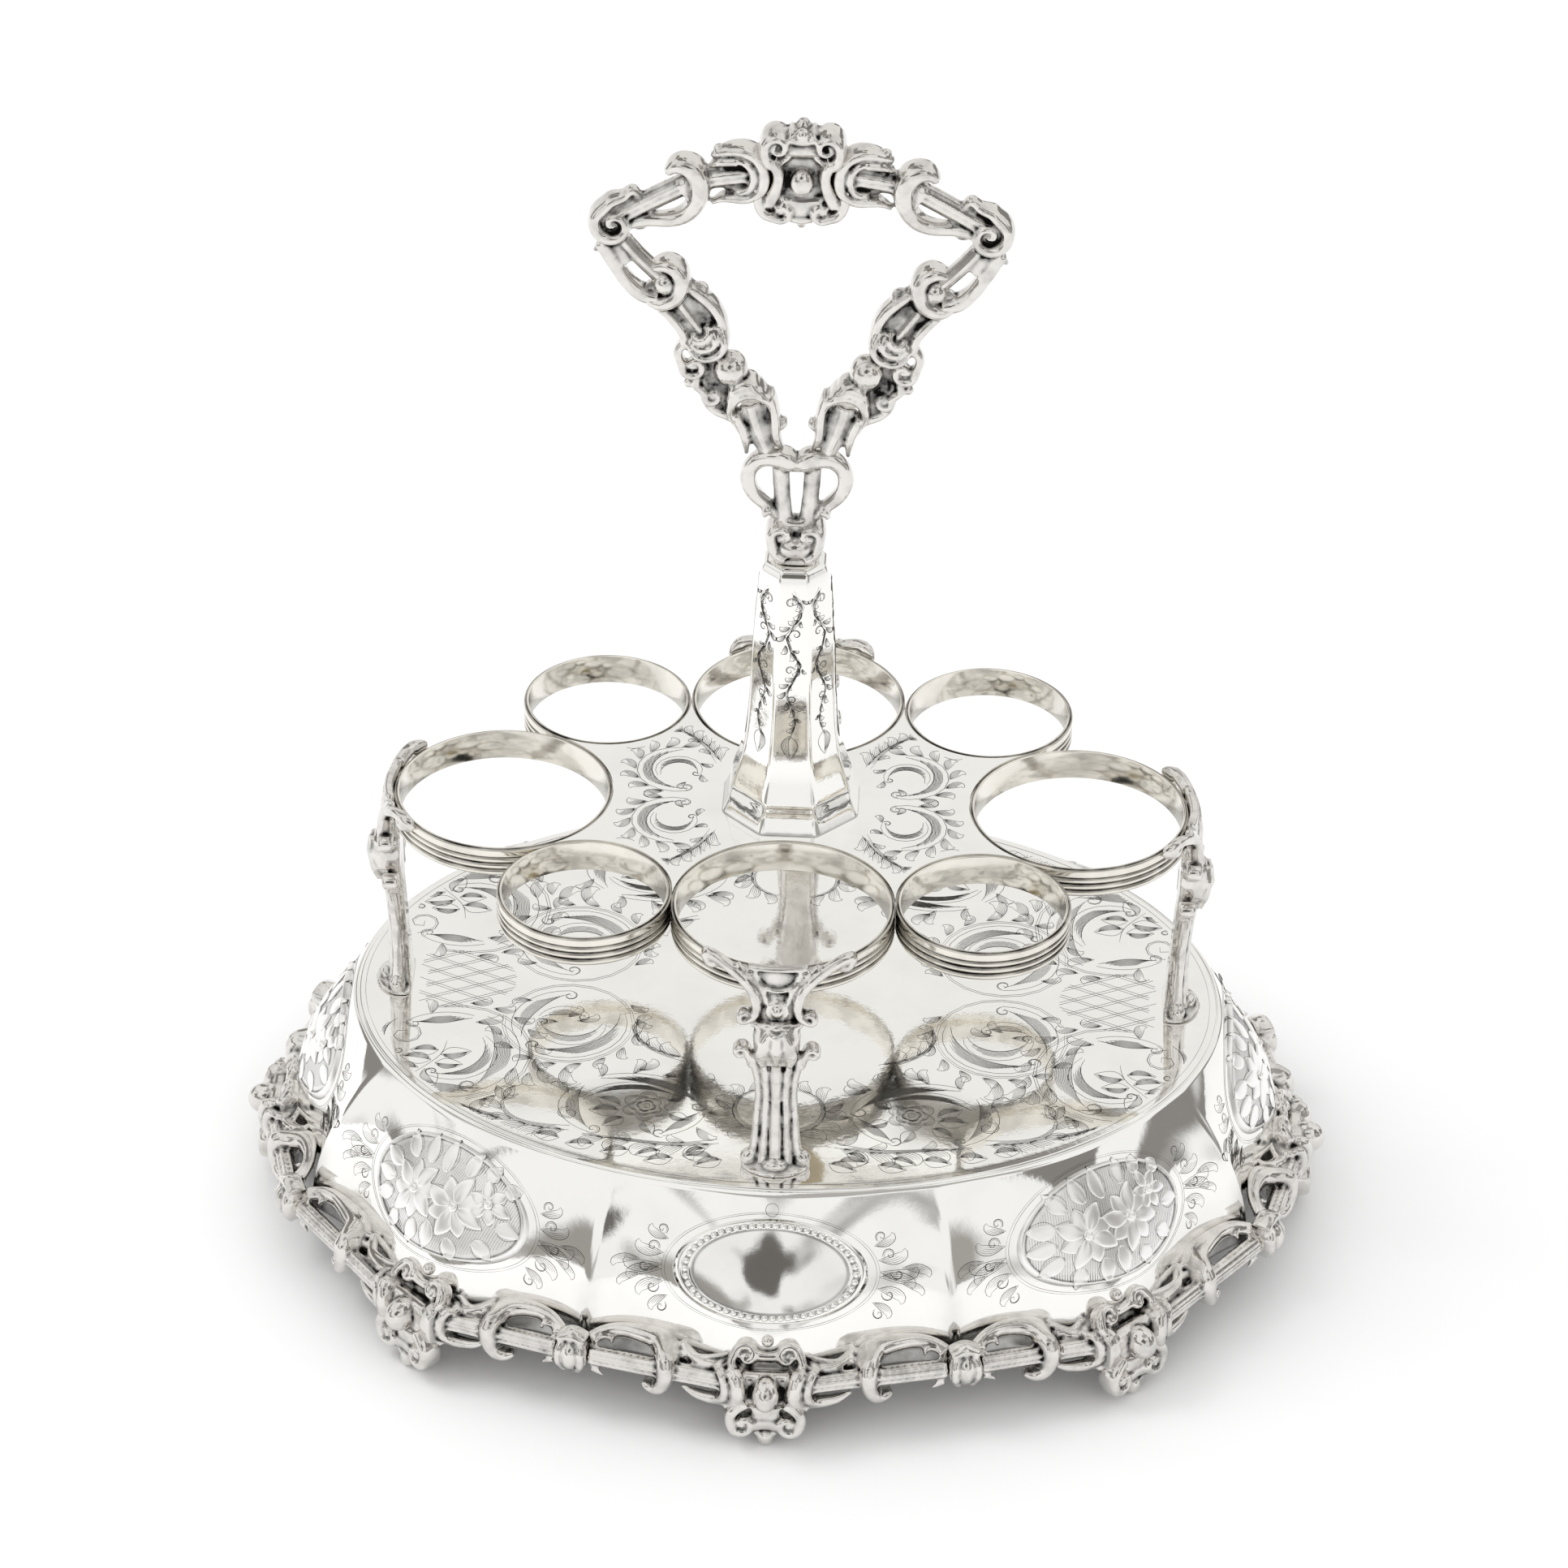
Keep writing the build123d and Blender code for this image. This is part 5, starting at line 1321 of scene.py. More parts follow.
    def upper(self, side: int) -> None:
        """Upper side: side rod, elbow scroll, sloping rod, twisted straps and bow rod."""
        cast = Casting(self.seat, self.swell, hand=side)
        lay, dot = cast.strap, cast.bead
        lay([30+134.6j, 34.6+139.2j, 39.6+145.2j], [2, 1.9, 2], [2.3, 2.2, 2.3],
            flutes=6, depth=0.16, sides=30)
        lay([43+143j, 41.2+139.6j, 39.3+136.3j, 36.4+132.3j, 33.2+130.2j, 30.6+129.9j],
            [1.3, 1.35, 1.3, 1.3, 1.4, 1.2], [2.2, 2, 2, 2.3, 2.8, 3], count=36)
        lay([40.6+144j, 39.2+140.9j, 37.6+138j], [2.2, 1.9, 0.9], 1.7)
        lay([31+131.6j, 33.4+132.2j], [1.8, 0.9], 1.5, count=8)
        lay([42.6+140.6j, 43.9+141.2j, 44.6+140.4j], [0.7, 0.6, 0.3], [1.3, 1, 0.5])
        lay([23+158.6j, 31+154.1j, 39.2+149.2j], [2.6, 2.6, 2.5], 2.5, flutes=8, depth=0.2, sides=32)
        lay([34.8+154j, 36.4+155.6j, 38.2+154.2j, 41.2+152.9j] + spiral(40.4+147.8j, 4.6, 0.6, 70, -500, 11),
            [0.6, 0.8, 1, 1.15, 1.2, 1.1, 0.95, 0.75, 0.55],
            [1.4, 2, 3.2, 3.8, 4, 3.9, 3.6, 3.2, 2.8], count=80)
        dot(40.4+147.8j, (1, 1, 3.4))
        dot(40.2+147.6j, (3.2, 3.2, 2.4))
        lay([28.9+160.4j, 27.4+162j, 24.6+162.2j, 22.4+160.2j, 21.8+156.8j, 22.8+153j, 25.4+150j,
            29.2+148.8j, 33.2+148.6j, 37+147.4j], [0.8, 1.5, 1.9, 1.9, 1.7, 1.5, 1.35, 1.25, 1.15, 0.9],
            [2.4, 3.5, 4, 4.1, 3.9, 3.2, 2.5, 2.1, 2, 1.8], count=60)
        lay([22.6+157.6j, 25.6+156.2j], 2.6, 2.6, count=8)
        lay([32.4+150.6j, 35.4+149.4j, 38+147.6j], [0.8, 1.5, 1.5], 1.4)
        lay([33+148.2j, 34.6+146.8j, 36.2+146.4j], [0.7, 0.7, 0.3], [1.3, 1.1, 0.5])
        lay([9+160.6j, 16+159.7j, 24.8+158j], 2.6, 2.6, flutes=8, depth=0.2, sides=32)
        lay([19.6+164.6j, 17.6+165.6j, 13.6+166.5j, 10+165.2j, 8+161.4j, 8.9+157.2j, 12.2+155.2j,
            16.4+154.8j, 19.4+153.2j], [0.4, 0.8, 1, 1.1, 1.1, 1.1, 1, 0.8, 0.35], [1.2, 2.6, 3.4, 3.9, 4,
            3.9, 3.4, 2.6, 1.2], count=54)
        lay([16.4+163.6j, 13+164.2j, 10.8+162.4j, 10.4+159.6j, 11.6+157.3j, 14.4+156.6j],
            [0.4, 0.7, 0.8, 0.8, 0.7, 0.4], [2.4, 3.2, 3.5, 3.5, 3.2, 2.4])
        lay([9.2+160.8j, 13+160.6j, 17.4+160j], [4.2, 4, 2.6], 1.5)
        lay([14+164.2j, 17.2+163.6j, 19.8+162.2j], [1, 0.9, 0.3], [3.4, 2.8, 1.4])
        lay([18.2+165j, 18.4+166.4j, 17.4+167j], [0.6, 0.5, 0.3], [1.4, 1.1, 0.6])
        which = "right" if side > 0 else "left"
        self.finish("handle_shoulder_" + which, cast, "handle_side_" + which)

    def crest(self) -> None:
        """Double scroll cartouche with an oval boss in a niche and a pendant below."""
        cast = Casting(self.seat, self.swell)
        lay, dot = cast.strap, cast.bead
        dot(160.6j, (6.8, 8.4, 1.9))
        lay([-5+168.4j, 168.0j, 5+168.4j], 2.3, 2.9)
        lay([-4.6+153.6j, 153.0j, 4.6+153.6j], 2.2, 2.2)
        for out in (-1, 1):
            dot(159.8j, (2.5, 3.2, 1.9), 2.9 * out)
            dot(171.3j, 1.5, 2.6 * out)
        lay([6.4+163.6j, 8+166.2j] + spiral(5.4+168.2j, 2.6, 0.5, 5, 430, 12),
            [1.1, 1.1, 1.05, 0.95, 0.8, 0.6, 0.45], [4.2, 4.5, 4.6, 4.6, 4.4, 4.2, 3.8], 0, True, 90)
        dot(5.4+168.2j, (2.6, 2.6, 3), 0, True)
        lay([-3+170.6j, 169.7j, 3+170.6j], [1, 0.8, 1], [4.2, 3.9, 4.2])
        lay([7.4+153.8j, 5.9+157j, 5+160.4j, 5.4+163j, 6.6+164.8j], [1.35, 1.25, 1.15, 1.2, 1.3],
            [3.4, 3.7, 3.9, 4.2, 4.3], 0, True, 40)
        lay([2.8+165.4j, 4.6+163.6j, 3.4+162.4j], [0.5, 0.6, 0.3], [2.6, 2.9, 2.2], 0, True)
        lay([9.4+158.2j, 9.3+154.6j, 7.4+151.4j] + spiral(4.3+152.3j, 2.2, 0.4, -40, -400),
            [1, 1.05, 1, 0.85, 0.7, 0.5], [3.4, 3.7, 3.6, 3.3, 2.9, 2.4], 0, True, 60)
        dot(4.3+152.3j, (0.7, 0.7, 2.8), 0, True)
        lay([-2.8+150.7j, 150.1j, 2.8+150.7j], 0.8, 2.2)
        dot(148.9j, (1.2, 1.3, 1.3))
        self.finish("handle_cartouche", cast, "handle_crest")

    def build(self) -> None:
        """Make the six castings of the handle and the collar under it."""
        self.collar()
        self.fork()
        for side in (-1, 1):
            self.arm(side)
            self.upper(side)
        self.crest()


@dataclass
class Legs:
    """Four flat-backed cast legs from the plate to the large rings."""

    back: float = 1.3
    ring_radius: float = 25.05
    ring_base: float = 46.4
    foot_inward: float = 2.2
    reach_wide: float = 67.3
    reach_long: float = 90.8

    def shape(self) -> Skin:
        """One leg drawn for the front: right is +X, outward is -Y, heights over the plate."""
        cast = Casting(Seat((0.0, 0.0, 0.0), (1.0, 0.0, 0.0)))
        lay, dot = cast.strap, cast.bead
        dot(0.4j, (8, 0.9, 6.2), 1.2)
        dot(0.9j, (6.6, 1, 4.8), 1)
        for x, wide, front in ((0, 1.25, 2.5), (2.4, 0.85, 2), (4.3, 0.95, 1.1)):
            line = [complex(x * 1.3, 0.8), complex(x * 1.12, 5), complex(x, 14), complex(x * 0.92, 21),
                complex(x * 1.05, 26.5), complex(x * 1.35, 31.5)]
            lay(line, [wide * 1.25, wide, wide * 0.85, wide * 0.8, wide * 0.95, wide * 1.05],
                [1.6, 1.3, 1.2, 1.2, 1.3, 1.4], [front + 0.6, front, front * 0.85, front * 0.85, front],
                x > 0, 40)
        lay([1.0j, 14j, 22j, 32j], [5.4, 4, 3.9, 5], [1.9, 1.9, 1.9, 1.9], 0.2, count=24)
        lay([5.6+28j, 6.2+31j, 7.2+33.2j] + spiral(7.9+31.9j, 1.5, 0.4, 100, -330, 7),
            [0.8, 0.9, 0.85, 0.7, 0.5], [1.8, 2.2, 2.2, 2, 1.7], 0.6, True, 40)
        dot(6.1+2.2j, 1.9, 1.8, True)
        dot(1.9j, (2.6, 1.3, 1.8), 4.4)
        lay([30.2j, 33.0j, 37.0j, 40.4j], [3.6, 5.2, 5.4, 4.6], [3.4, 4.6, 5, 3.6], 1.2, count=16)
        for lean in (-1, 1):
            lay([complex(lean * 1.2, 40), complex(lean * 2.4, 36.6), complex(lean * 3.4, 33),
                complex(lean * 3, 29.8)], [0.9, 1.5, 1.4, 0.4], 0.9, [4.9, 5.4, 4.7, 3.6])
        lay([39.6j, 36.0j, 31.4j], [0.8, 1.1, 0.3], 0.9, [5.4, 6, 4.6])
        lay([-5.6+40j, 40.9j, 5.6+40j], 0.75, [1.6, 3.4, 1.6], [0.8, 1.6, 0.8])
        dot(43.6j, (4.6, 4.6, 2.4), 0.4)
        cast.hoop(44.2j, (2.1, 2.1), 0.5, 2.5)
        dot(44.2j, 1.5, 2.6)
        arm = spiral(7+42.3j, 0.5, 1.7, 300, -400, 7)[:-1]
        arm += [5.3+42.6j, 4.6+45.4j, 5.4+48.6j, 8+51.8j, 11.6+54j, 14.6+55j]
        arm += spiral(15+53.5j, 1.5, 0.4, 60, -330, 6)
        lay(arm, [0.6, 0.7, 0.9, 1.2, 1.35, 1.35, 1.3, 1, 0.7], [1.5, 1.8, 2, 2, 1.9, 1.7, 1.6, 1.6, 1.2],
            [1.4, 1.6, 1.8, 2, 1.9, 1.7, 1.6, 1.4], True, 110)
        dot(15+53.6j, (2.4, 2.2, 1.5), 1.2, True)
        lay([2.4+46j, 3.2+48.6j, 5.8+52j, 9+54.8j], [0.6, 0.6, 0.6, 0.5], [1.2, 1.2, 1.1, 0.9], 1.4, True)
        lay([-6.6+54.6j, 54.6j, 6.6+54.6j], 0.65, 1.1, 1.2)
        lay([-5.6+51.4j, 51.2j, 5.6+51.4j], 3, 0.7, 0.6)
        lay([-5+54j, -4.2+51j, 48.9j, 4.2+51j, 5+54j], 0.5, 0.7, 1.5, count=30)
        skin = cast.skin()
        points = skin.points
        out = np.maximum(-points[:, 1], -self.back)
        beside = np.clip((points[:, 2] - self.ring_base + 1.0) / 2.0, 0, 1)
        floor = -self.back + (self.back - 0.02) * beside
        out = np.maximum(out, floor)
        wrap = np.clip((points[:, 2] - 42.0) / 6.0, 0, 1) ** 2
        sag = self.ring_radius - np.sqrt(self.ring_radius ** 2 - np.clip(points[:, 0], -20, 20) ** 2)
        inward = self.foot_inward * np.clip(1 - points[:, 2] / 34.0, 0, 1)
        points[:, 1] = -(out - sag * wrap) + inward
        points[:, 2] = np.maximum(points[:, 2], 0.0)
        return skin

    def build(self) -> None:
        """Melt one leg and stand a copy of it under each large ring."""
        first = cast_mesh("leg_cast", self.shape())
        oxide_and_shade = hollow_share(first)
        points = vertex_array(first, "co")
        for name, turn in (("front", 0), ("right", 90), ("back", 180), ("left", 270)):
            reach = self.reach_wide if turn % 180 == 0 else self.reach_long
            angle = radians(turn)
            spin = np.array([[cos(angle), sin(angle), 0], [-sin(angle), cos(angle), 0], [0, 0, 1]])
            stood = (points + [0, -reach, PLATE_TOP]) @ spin
            mesh = first.copy()
            mesh.name = "leg_" + name + "_dressed"
            mesh.vertices.foreach_set("co", stood.ravel())
            place("cast_leg_" + name, mesh, oxide_and_shade, CAST, ["leg_" + name])
        bpy.data.meshes.remove(first)


@dataclass
class Engraver:
    """Burin work: flat lines gathered in millimetres, then laid on a surface as fine ridges."""

    lines: List[Array] = field(default_factory=list)
    widths: List[float] = field(default_factory=list)
    turn: complex = 1.0 + 0j
    shift: complex = 0j
    hand: Tuple[int, int] = (1, 1)
    allowed: Optional[Callable[[Array], Array]] = None
    lush: float = 1.0
    samples: int = 11

    def at(self, shift: complex, degrees: float = 0.0) -> "Engraver":
        """The same sheet, drawn on from another place and turn."""
        turn = np.exp(1j * radians(degrees))
        return replace(self, turn=self.turn * turn, shift=self.shift + self.turn * shift)

    def handed(self, across: int, along: int) -> "Engraver":
        """The same sheet with what is drawn mirrored in X, in Y or in both."""
        return replace(self, hand=(across, along))

    def keep(self, line: Array, width: float) -> None:
        """Store one sampled line, cut back to its longest run on allowed ground.

        Args:
            line: Flat points of the line.
            width: Its half width.
        """
        placed = line * self.turn + self.shift
        placed = placed.real * self.hand[0] + 1j * placed.imag * self.hand[1]
        if self.allowed is not None:
            good = self.allowed(placed).astype(int)
            if not good.all():
                edges = np.flatnonzero(np.diff(np.concatenate([[0], good, [0]])))
                if len(edges) == 0:
                    return
                runs = edges.reshape(-1, 2)
                first, last = runs[np.argmax(runs[:, 1] - runs[:, 0])]
                if last - first < 4:
                    return
                where = np.linspace(first, last - 1, self.samples)
                placed = np.interp(where, np.arange(len(placed)), placed)
        self.lines.append(placed)
        self.widths.append(width)

    def cut(self, points: Sequence[complex], width: float = 0.2) -> Array:
        """Cut one smooth line and return it."""
        line = smooth_line(points, self.samples)
        self.keep(line, width)
        return line

    def hatch(self, first: Array, last: Array, count: int, start: float, end: float,
            width: float = 0.1) -> None:
        """Cut fine lines that pass evenly from one curve to another.

        Args:
            first: Sampled curve on one side.
            last: Sampled curve on the other side.
            count: How many lines.
            start: Share of the curves' run at which the first line starts.
            end: Share at which it ends; each next one is shorter.
            width: Half width of a line.
        """
        for number in range(count):
            share = (number + 1) / (count + 1)
            where = np.linspace(start + 0.1 * share, end - 0.25 * share, self.samples)
            sides = [np.interp(where, np.linspace(0, 1, len(curve)), curve) for curve in (first, last)]
            self.keep(sides[0] * (1 - share) + sides[1] * share, width)

    def lobe(self, root: complex, tip: complex, bow: float, hatches: int = 4) -> None:
        """Acanthus lobe: a full outer curve that hooks over at its head, and a flatter inner one.

        Args:
            root: Where it leaves the stem.
            tip: Its tip.
            bow: How round it is, less than 0 for a bow to the right.
            hatches: How many shading lines.
        """
        run = tip - root
        side = 1j * run * bow
        outer = self.cut([root, root + run * 0.36 + side, root + run * 0.78 + side * 1.2,
            root + run * 1.02 + side * 0.72, tip + side * 0.15, root + run * 0.84 + side * 0.3], 0.16)
        inner = self.cut([root, root + run * 0.42 + side * 0.1, root + run * 0.84 + side * 0.3], 0.13)
        self.hatch(outer[:int(self.samples * 0.75)], inner[:int(self.samples * 0.95)], hatches, 0.06, 1, 0.1)

    def vine(self, points: Sequence[complex], lobes: int, sizes: Tuple[float, float], side: int,
            lean: float = 48.0, bow: float = 0.48, both: bool = False) -> None:
        """Curved stem with acanthus lobes along one side and shading along the other.

        Args:
            points: Points of the stem.
            lobes: How many lobes.
            sizes: Length of the first lobe and of the last.
            side: 1 for lobes on the stem's left, -1 for its right.
            lean: Angle between the stem and a lobe, in degrees.
            bow: How round a lobe is.
            both: Whether smaller lobes grow on the other side too.
        """
        stem = smooth_line(points, 80)
        ahead = unit(np.stack([np.gradient(stem.real), np.gradient(stem.imag)], axis=-1))
        ahead = ahead[:, 0] + 1j * ahead[:, 1]
        step = np.linspace(0, 79, self.samples)
        share = np.linspace(1, 0.25, 80)
        inner = stem - 1j * side * ahead * share * sizes[0] * 0.3
        index = np.arange(80)
        spine = np.interp(step, index, stem)
        under = np.interp(step, index, inner)
        self.keep(spine, 0.16)
        self.keep(under, 0.12)
        self.hatch(spine, under, 3, 0.05, 0.95, 0.09)
        for number in range(lobes):
            part = (number + 0.3) / lobes
            at = int(part * 76)
            size = (sizes[0] + (sizes[1] - sizes[0]) * part) * self.lush
            way = ahead[at] * np.exp(1j * side * radians(lean))
            self.lobe(stem[at], stem[at] + way * size, -side * bow)
            if both and number % 2:
                back = ahead[at] * np.exp(-1j * side * radians(lean))
                self.lobe(inner[at], inner[at] + back * size * 0.62, side * bow, 3)

    def moon(self, centre: complex, outer: float, inner: float, start: float, sweep: float, hatches: int = 6,
            stretch: float = 1.0) -> None:
        """Crescent between two arcs, shaded from its inner edge, with a curl at its end.

        Its depth swells as the sine of the run, and the shading lines keep shares of it.

        Args:
            centre: Middle of the arcs.
            outer: Radius of the outer arc.
            inner: Least radius of the inner arc.
            start: Angle of its start, in degrees.
            sweep: Angle it turns through.
            hatches: How many shading lines.
            stretch: Height of the arcs as a share of their width.
        """
        run = np.linspace(0, 1, self.samples)
        way = np.exp(1j * np.radians(start + sweep * run))
        way = way.real + 1j * stretch * way.imag
        depth = (outer - inner) * np.sin(pi * np.clip(run, 0.03, 0.97)) ** 0.6
        self.keep(centre + outer * way, 0.15)
        self.keep(centre + (outer - depth) * way, 0.17)
        for number in range(hatches):
            share = 0.94 - 0.62 * number / hatches
            span = np.linspace(0.05 + 0.16 * (number % 3) / 3 + 0.2 * number / hatches,
                0.93 - 0.3 * number / hatches, self.samples)
            bent = np.interp(span, run, way)
            self.keep(centre + (outer - np.interp(span, run, depth) * share) * bent, 0.12)
        end = np.exp(1j * radians(start + sweep))
        ball = (outer - inner) * 0.45
        self.eye(centre + (outer - ball) * (end.real + 1j * stretch * end.imag), ball, start + sweep,
            430 if sweep > 0 else -430)

    def eye(self, centre: complex, radius: float, start: float, sweep: float) -> None:
        """Curled end of a scroll."""
        self.cut(spiral(centre, radius, radius * 0.15, start, sweep, 10), 0.2)
        self.cut(spiral(centre, radius * 0.84, radius * 0.4, start + 25, sweep * 0.5, 8), 0.09)

    def leaf(self, base: complex, tip: complex) -> None:
        """Pointed leaf: two bowed sides, a midrib and shading on one half."""
        run = tip - base
        side = 1j * run * 0.3
        left = self.cut([base, base + run * 0.35 + side, base + run * 0.75 + side * 0.62, tip], 0.16)
        self.cut([base, base + run * 0.35 - side, base + run * 0.75 - side * 0.62, tip], 0.16)
        middle = self.cut([base, base + run * 0.5 + side * 0.1, base + run * 0.94], 0.12)
        self.hatch(middle, left, 5, 0.05, 0.98, 0.075)

    def lobes(self, ends: Sequence[complex], bow: float, hatches: int) -> None:
        """Lobes whose roots and tips take turns in a row of points."""
        for root, tip in zip(ends[::2], ends[1::2]):
            self.lobe(root, tip, bow, hatches)

    def wreath(self, count: int, first: float, step: float, root: complex, tip: complex,
            hatches: int = 5) -> None:
        """Lobes set round the sheet's middle, from a first angle on by even steps."""
        for number in range(count):
            self.at(0j, first + step * number).lobe(root, tip, 0.5, hatches)

    def leaves(self, ends: Sequence[complex]) -> None:
        """Leaves whose bases and tips take turns in a row of points."""
        for base, tip in zip(ends[::2], ends[1::2]):
            self.leaf(base, tip)

    def rose(self, radius: float) -> None:
        """Open rose: three rows of rounded petals with shading, and a seeded heart."""
        for row, reach in enumerate((1.0, 0.68, 0.4)):
            count = 6 - row
            for number in range(count):
                start = number * FULL_TURN / count + row * 0.5
                turns = start + np.linspace(0, FULL_TURN / count * 1.12, 5)
                swell = np.array([0.72, 0.96, 1.04, 0.96, 0.72]) * reach * radius
                outer = self.cut(list(swell * np.exp(1j * turns)), 0.17)
                self.hatch(outer, outer * 0.72, 3, 0.12, 0.95, 0.08)
        self.cut(spiral(0j, radius * 0.2, radius * 0.04, 0, 560, 10), 0.16)

    def lay(self, onto: Surface, rise: float = 0.06) -> Skin:
        """Lay every line on a surface as a closed three-sided ridge that tapers at both ends.

        A cross section has its two feet just under the surface and its edge just over it.

        Args:
            onto: Gives the space points and normals of flat points.
            rise: Height of the ridge.
        Returns:
            All the ridges as one surface.
        """
        flat = np.stack(self.lines)
        count, samples = flat.shape
        points, normals = onto(flat.ravel())
        points = points.reshape(count, samples, 3)
        normals = normals.reshape(count, samples, 3)
        ahead = unit(np.gradient(points, axis=1))
        side = unit(np.cross(normals, ahead))
        taper = 0.3 + 0.7 * np.sin(pi * np.linspace(0.04, 0.96, samples)) ** 0.6
        half = np.asarray(self.widths)[:, None] * taper[None, :]
        left = points + side * half[..., None] - normals * 0.05
        right = points - side * half[..., None] - normals * 0.05
        top = points + normals * rise
        grid = np.stack([left, top, right], axis=2)
        rings = np.arange(samples - 1)[:, None, None] * 3
        column = np.arange(3)[None, :, None]
        after = (column + 1) % 3
        quads = np.concatenate([rings + after, rings + column, rings + 3 + column, rings + 3 + after],
            axis=-1)
        quads = quads.reshape(-1, 4)
        starts = (np.arange(count) * samples * 3)[:, None, None]
        last = (samples - 1) * 3
        ends = np.array([[0, 1, 2], [last, last + 2, last + 1]])
        all_quads = (quads[None] + starts).reshape(-1, 4)
        all_tris = (ends[None] + starts).reshape(-1, 3)
        return Skin(grid.reshape(-1, 3), all_quads[:, ::-1], all_tris[:, ::-1])


@dataclass
class Engraving:
    """Engraved ornament of the plate, the deck, the stem and the skirt."""

    plate_rim: float = 3.4
    rim_line: float = 2.4
    ring_gap: float = 1.2
    stem_gap: float = 18.2
    large_ring: float = 25.0
    small_ring: float = 19.6
    large_places: Tuple[complex, ...] = (65.7+0j, -65.7+0j, 42.2j, -42.2j)
    small_places: Tuple[complex, ...] = (44.56+39.33j, -44.56+39.33j, 44.56-39.33j, -44.56-39.33j)

    def piece(self, name: str, skin: Skin) -> None:
        """Make laid lines a piece."""
        mesh = make_mesh(name, skin)
        place(name, mesh, np.full(len(mesh.vertices), 0.25), CUT, smooth=False)

    @staticmethod
    def level(height: float) -> Surface:
        """Surface of a flat plate at a height."""

        def onto(flat: Array) -> Tuple[Array, Array]:
            """Points and normals of flat points on the plate."""
            points = np.stack([flat.real, flat.imag, np.full(flat.shape, height)], axis=-1)
            return points, np.broadcast_to(np.array([0.0, 0.0, 1.0]), points.shape)

        return onto

    def on_plate(self, flat: Array) -> Array:
        """Whether flat points lie inside the plate's rim and off the legs' pads."""
        long, wide = PLATE_LONG - self.plate_rim, PLATE_WIDE - self.plate_rim
        inside = (flat.real / long) ** 2 + (flat.imag / wide) ** 2
        across = (np.abs(flat.real) < 9.5) & (np.abs(flat.imag) > 62.5)
        along = (np.abs(flat.imag) < 9.5) & (np.abs(flat.real) > 86)
        return (inside < 1) & ~across & ~along

    def on_deck(self, flat: Array) -> Array:
        """Whether flat points lie on the deck: off the rings and off the stem's foot."""
        free = np.abs(flat) > self.stem_gap
        for places, radius in ((self.large_places, self.large_ring), (self.small_places, self.small_ring)):
            for middle in places:
                free &= np.abs(flat - middle) > radius + self.ring_gap
        return free

    @staticmethod
    def trellis(work: Engraver, centre: complex, reach: complex, pitch: float) -> None:
        """Lattice of double slanting lines inside an oval.

        Args:
            work: Sheet of lines.
            centre: Middle of the oval.
            reach: Its half axes.
            pitch: Distance between lines.
        """
        for slope in (0.5, -0.5):
            along = np.exp(1j * atan(slope))
            for step in range(-8, 9):
                for offset in (0.0, 0.8):
                    run = 1j * along * (step * pitch + offset) + np.linspace(-40, 40, 161) * along
                    inside = (run.real / reach.real) ** 2 + (run.imag / reach.imag) ** 2 < 1
                    if inside.sum() > 6:
                        first, last = run[inside][[0, -1]]
                        work.cut([centre + first, centre + (first + last) / 2, centre + last], 0.12)

    def plate_quarter(self, work: Engraver) -> None:
        """Lines of one quarter of the plate, drawn for the one at +X and -Y.

        Beside the leg are two scrolls with a rose between them, then leaves along the rim,
        a swirl under the ring and a round scroll with lobes at the end of the oval.
        """
        scroll = work.at(76-29j)
        for radius in (18.6, 18):
            scroll.cut(spiral(0j, radius, radius, 75, 180, 9), 0.12)
            scroll.cut(spiral(0j, radius, radius, 255, 70, 5), 0.12)
        scroll.moon(0.6+0j, 16.4, 10.4, 118, 128, 13)
        scroll.moon(-0.6-0.6j, 10, 6.2, 132, 170, 10)
        scroll.moon(0j, 17.2, 12.2, 238, 76, 10)
        scroll.moon(1.4+1j, 14.6, 10.4, 112, -62, 9)
        scroll.eye(11.4+6.4j, 4.6, 80, 500)
        scroll.moon(11.2+6.2j, 7.4, 4.8, 70, -150, 6)
        scroll.lobes([17.6+6.2j, 22.6+10.2j, 18.2+2.6j, 23.4+4j, 16.8-0.4j, 21.6-2.6j, 6+14.8j, 8+19.6j,
            -4.6+12j, -9.6+15.6j], 0.42, 5)
        scroll.leaves([2.4-1j, -4.6+0.6j, 3.4-4.4j, -3-4.6j, 5.6-6.8j, 2.6-12.6j, 3+0.6j, 9.6+0.4j, 4.4-3.2j,
            11.6-2j, 7-6.4j, 14.4-6.6j, 7.6-8j, 10-14.2j])
        scroll.cut([1.4+4.4j, 2.4-1j, 4.6-4.4j, 7.6-8j], 0.14)
        scroll.wreath(9, 98, 17, 19.6+0j, 23+3.4j)
        swirl = work.at(50-16j)
        for radius in (15.4, 14.8):
            swirl.cut(spiral(0j, radius, radius, 20, 175, 9), 0.11)
            swirl.cut(spiral(0j, radius, radius, 195, 175, 9), 0.11)
        swirl.moon(0j, 13.6, 9.2, 160, 150, 10)
        swirl.moon(0.4+0j, 12.8, 8.4, 330, 120, 9)
        swirl.moon(-0.6-0.4j, 8.2, 4.6, 175, 190, 6)
        swirl.moon(1+0.2j, 6.4, 3, 20, 130, 5)
        swirl.lobes([-2+1j, -6+4.2j, 0.4+2.4j, -1.4+6.8j, 2.4+0.4j, 6.4-1.8j, 9+8.4j, 13+6.4j], 0.42, 4)
        swirl.wreath(10, 150, 21, 16+0j, 19.4+2.6j)
        upper = work.at(33.5-47.5j)
        upper.moon(0j, 17.4, 12.6, 62, 112, 13, 0.74)
        upper.moon(-0.6+0.4j, 12.4, 8.8, 20, 130, 10, 0.74)
        upper.moon(0j, 16.6, 12, 44, -100, 12, 0.72)
        upper.moon(-1.4+0j, 15.6, 11.4, 184, 62, 10, 0.74)
        upper.eye(14-3j, 2.8, 60, -480)
        upper.at(-3.4+0.6j).rose(5.4)
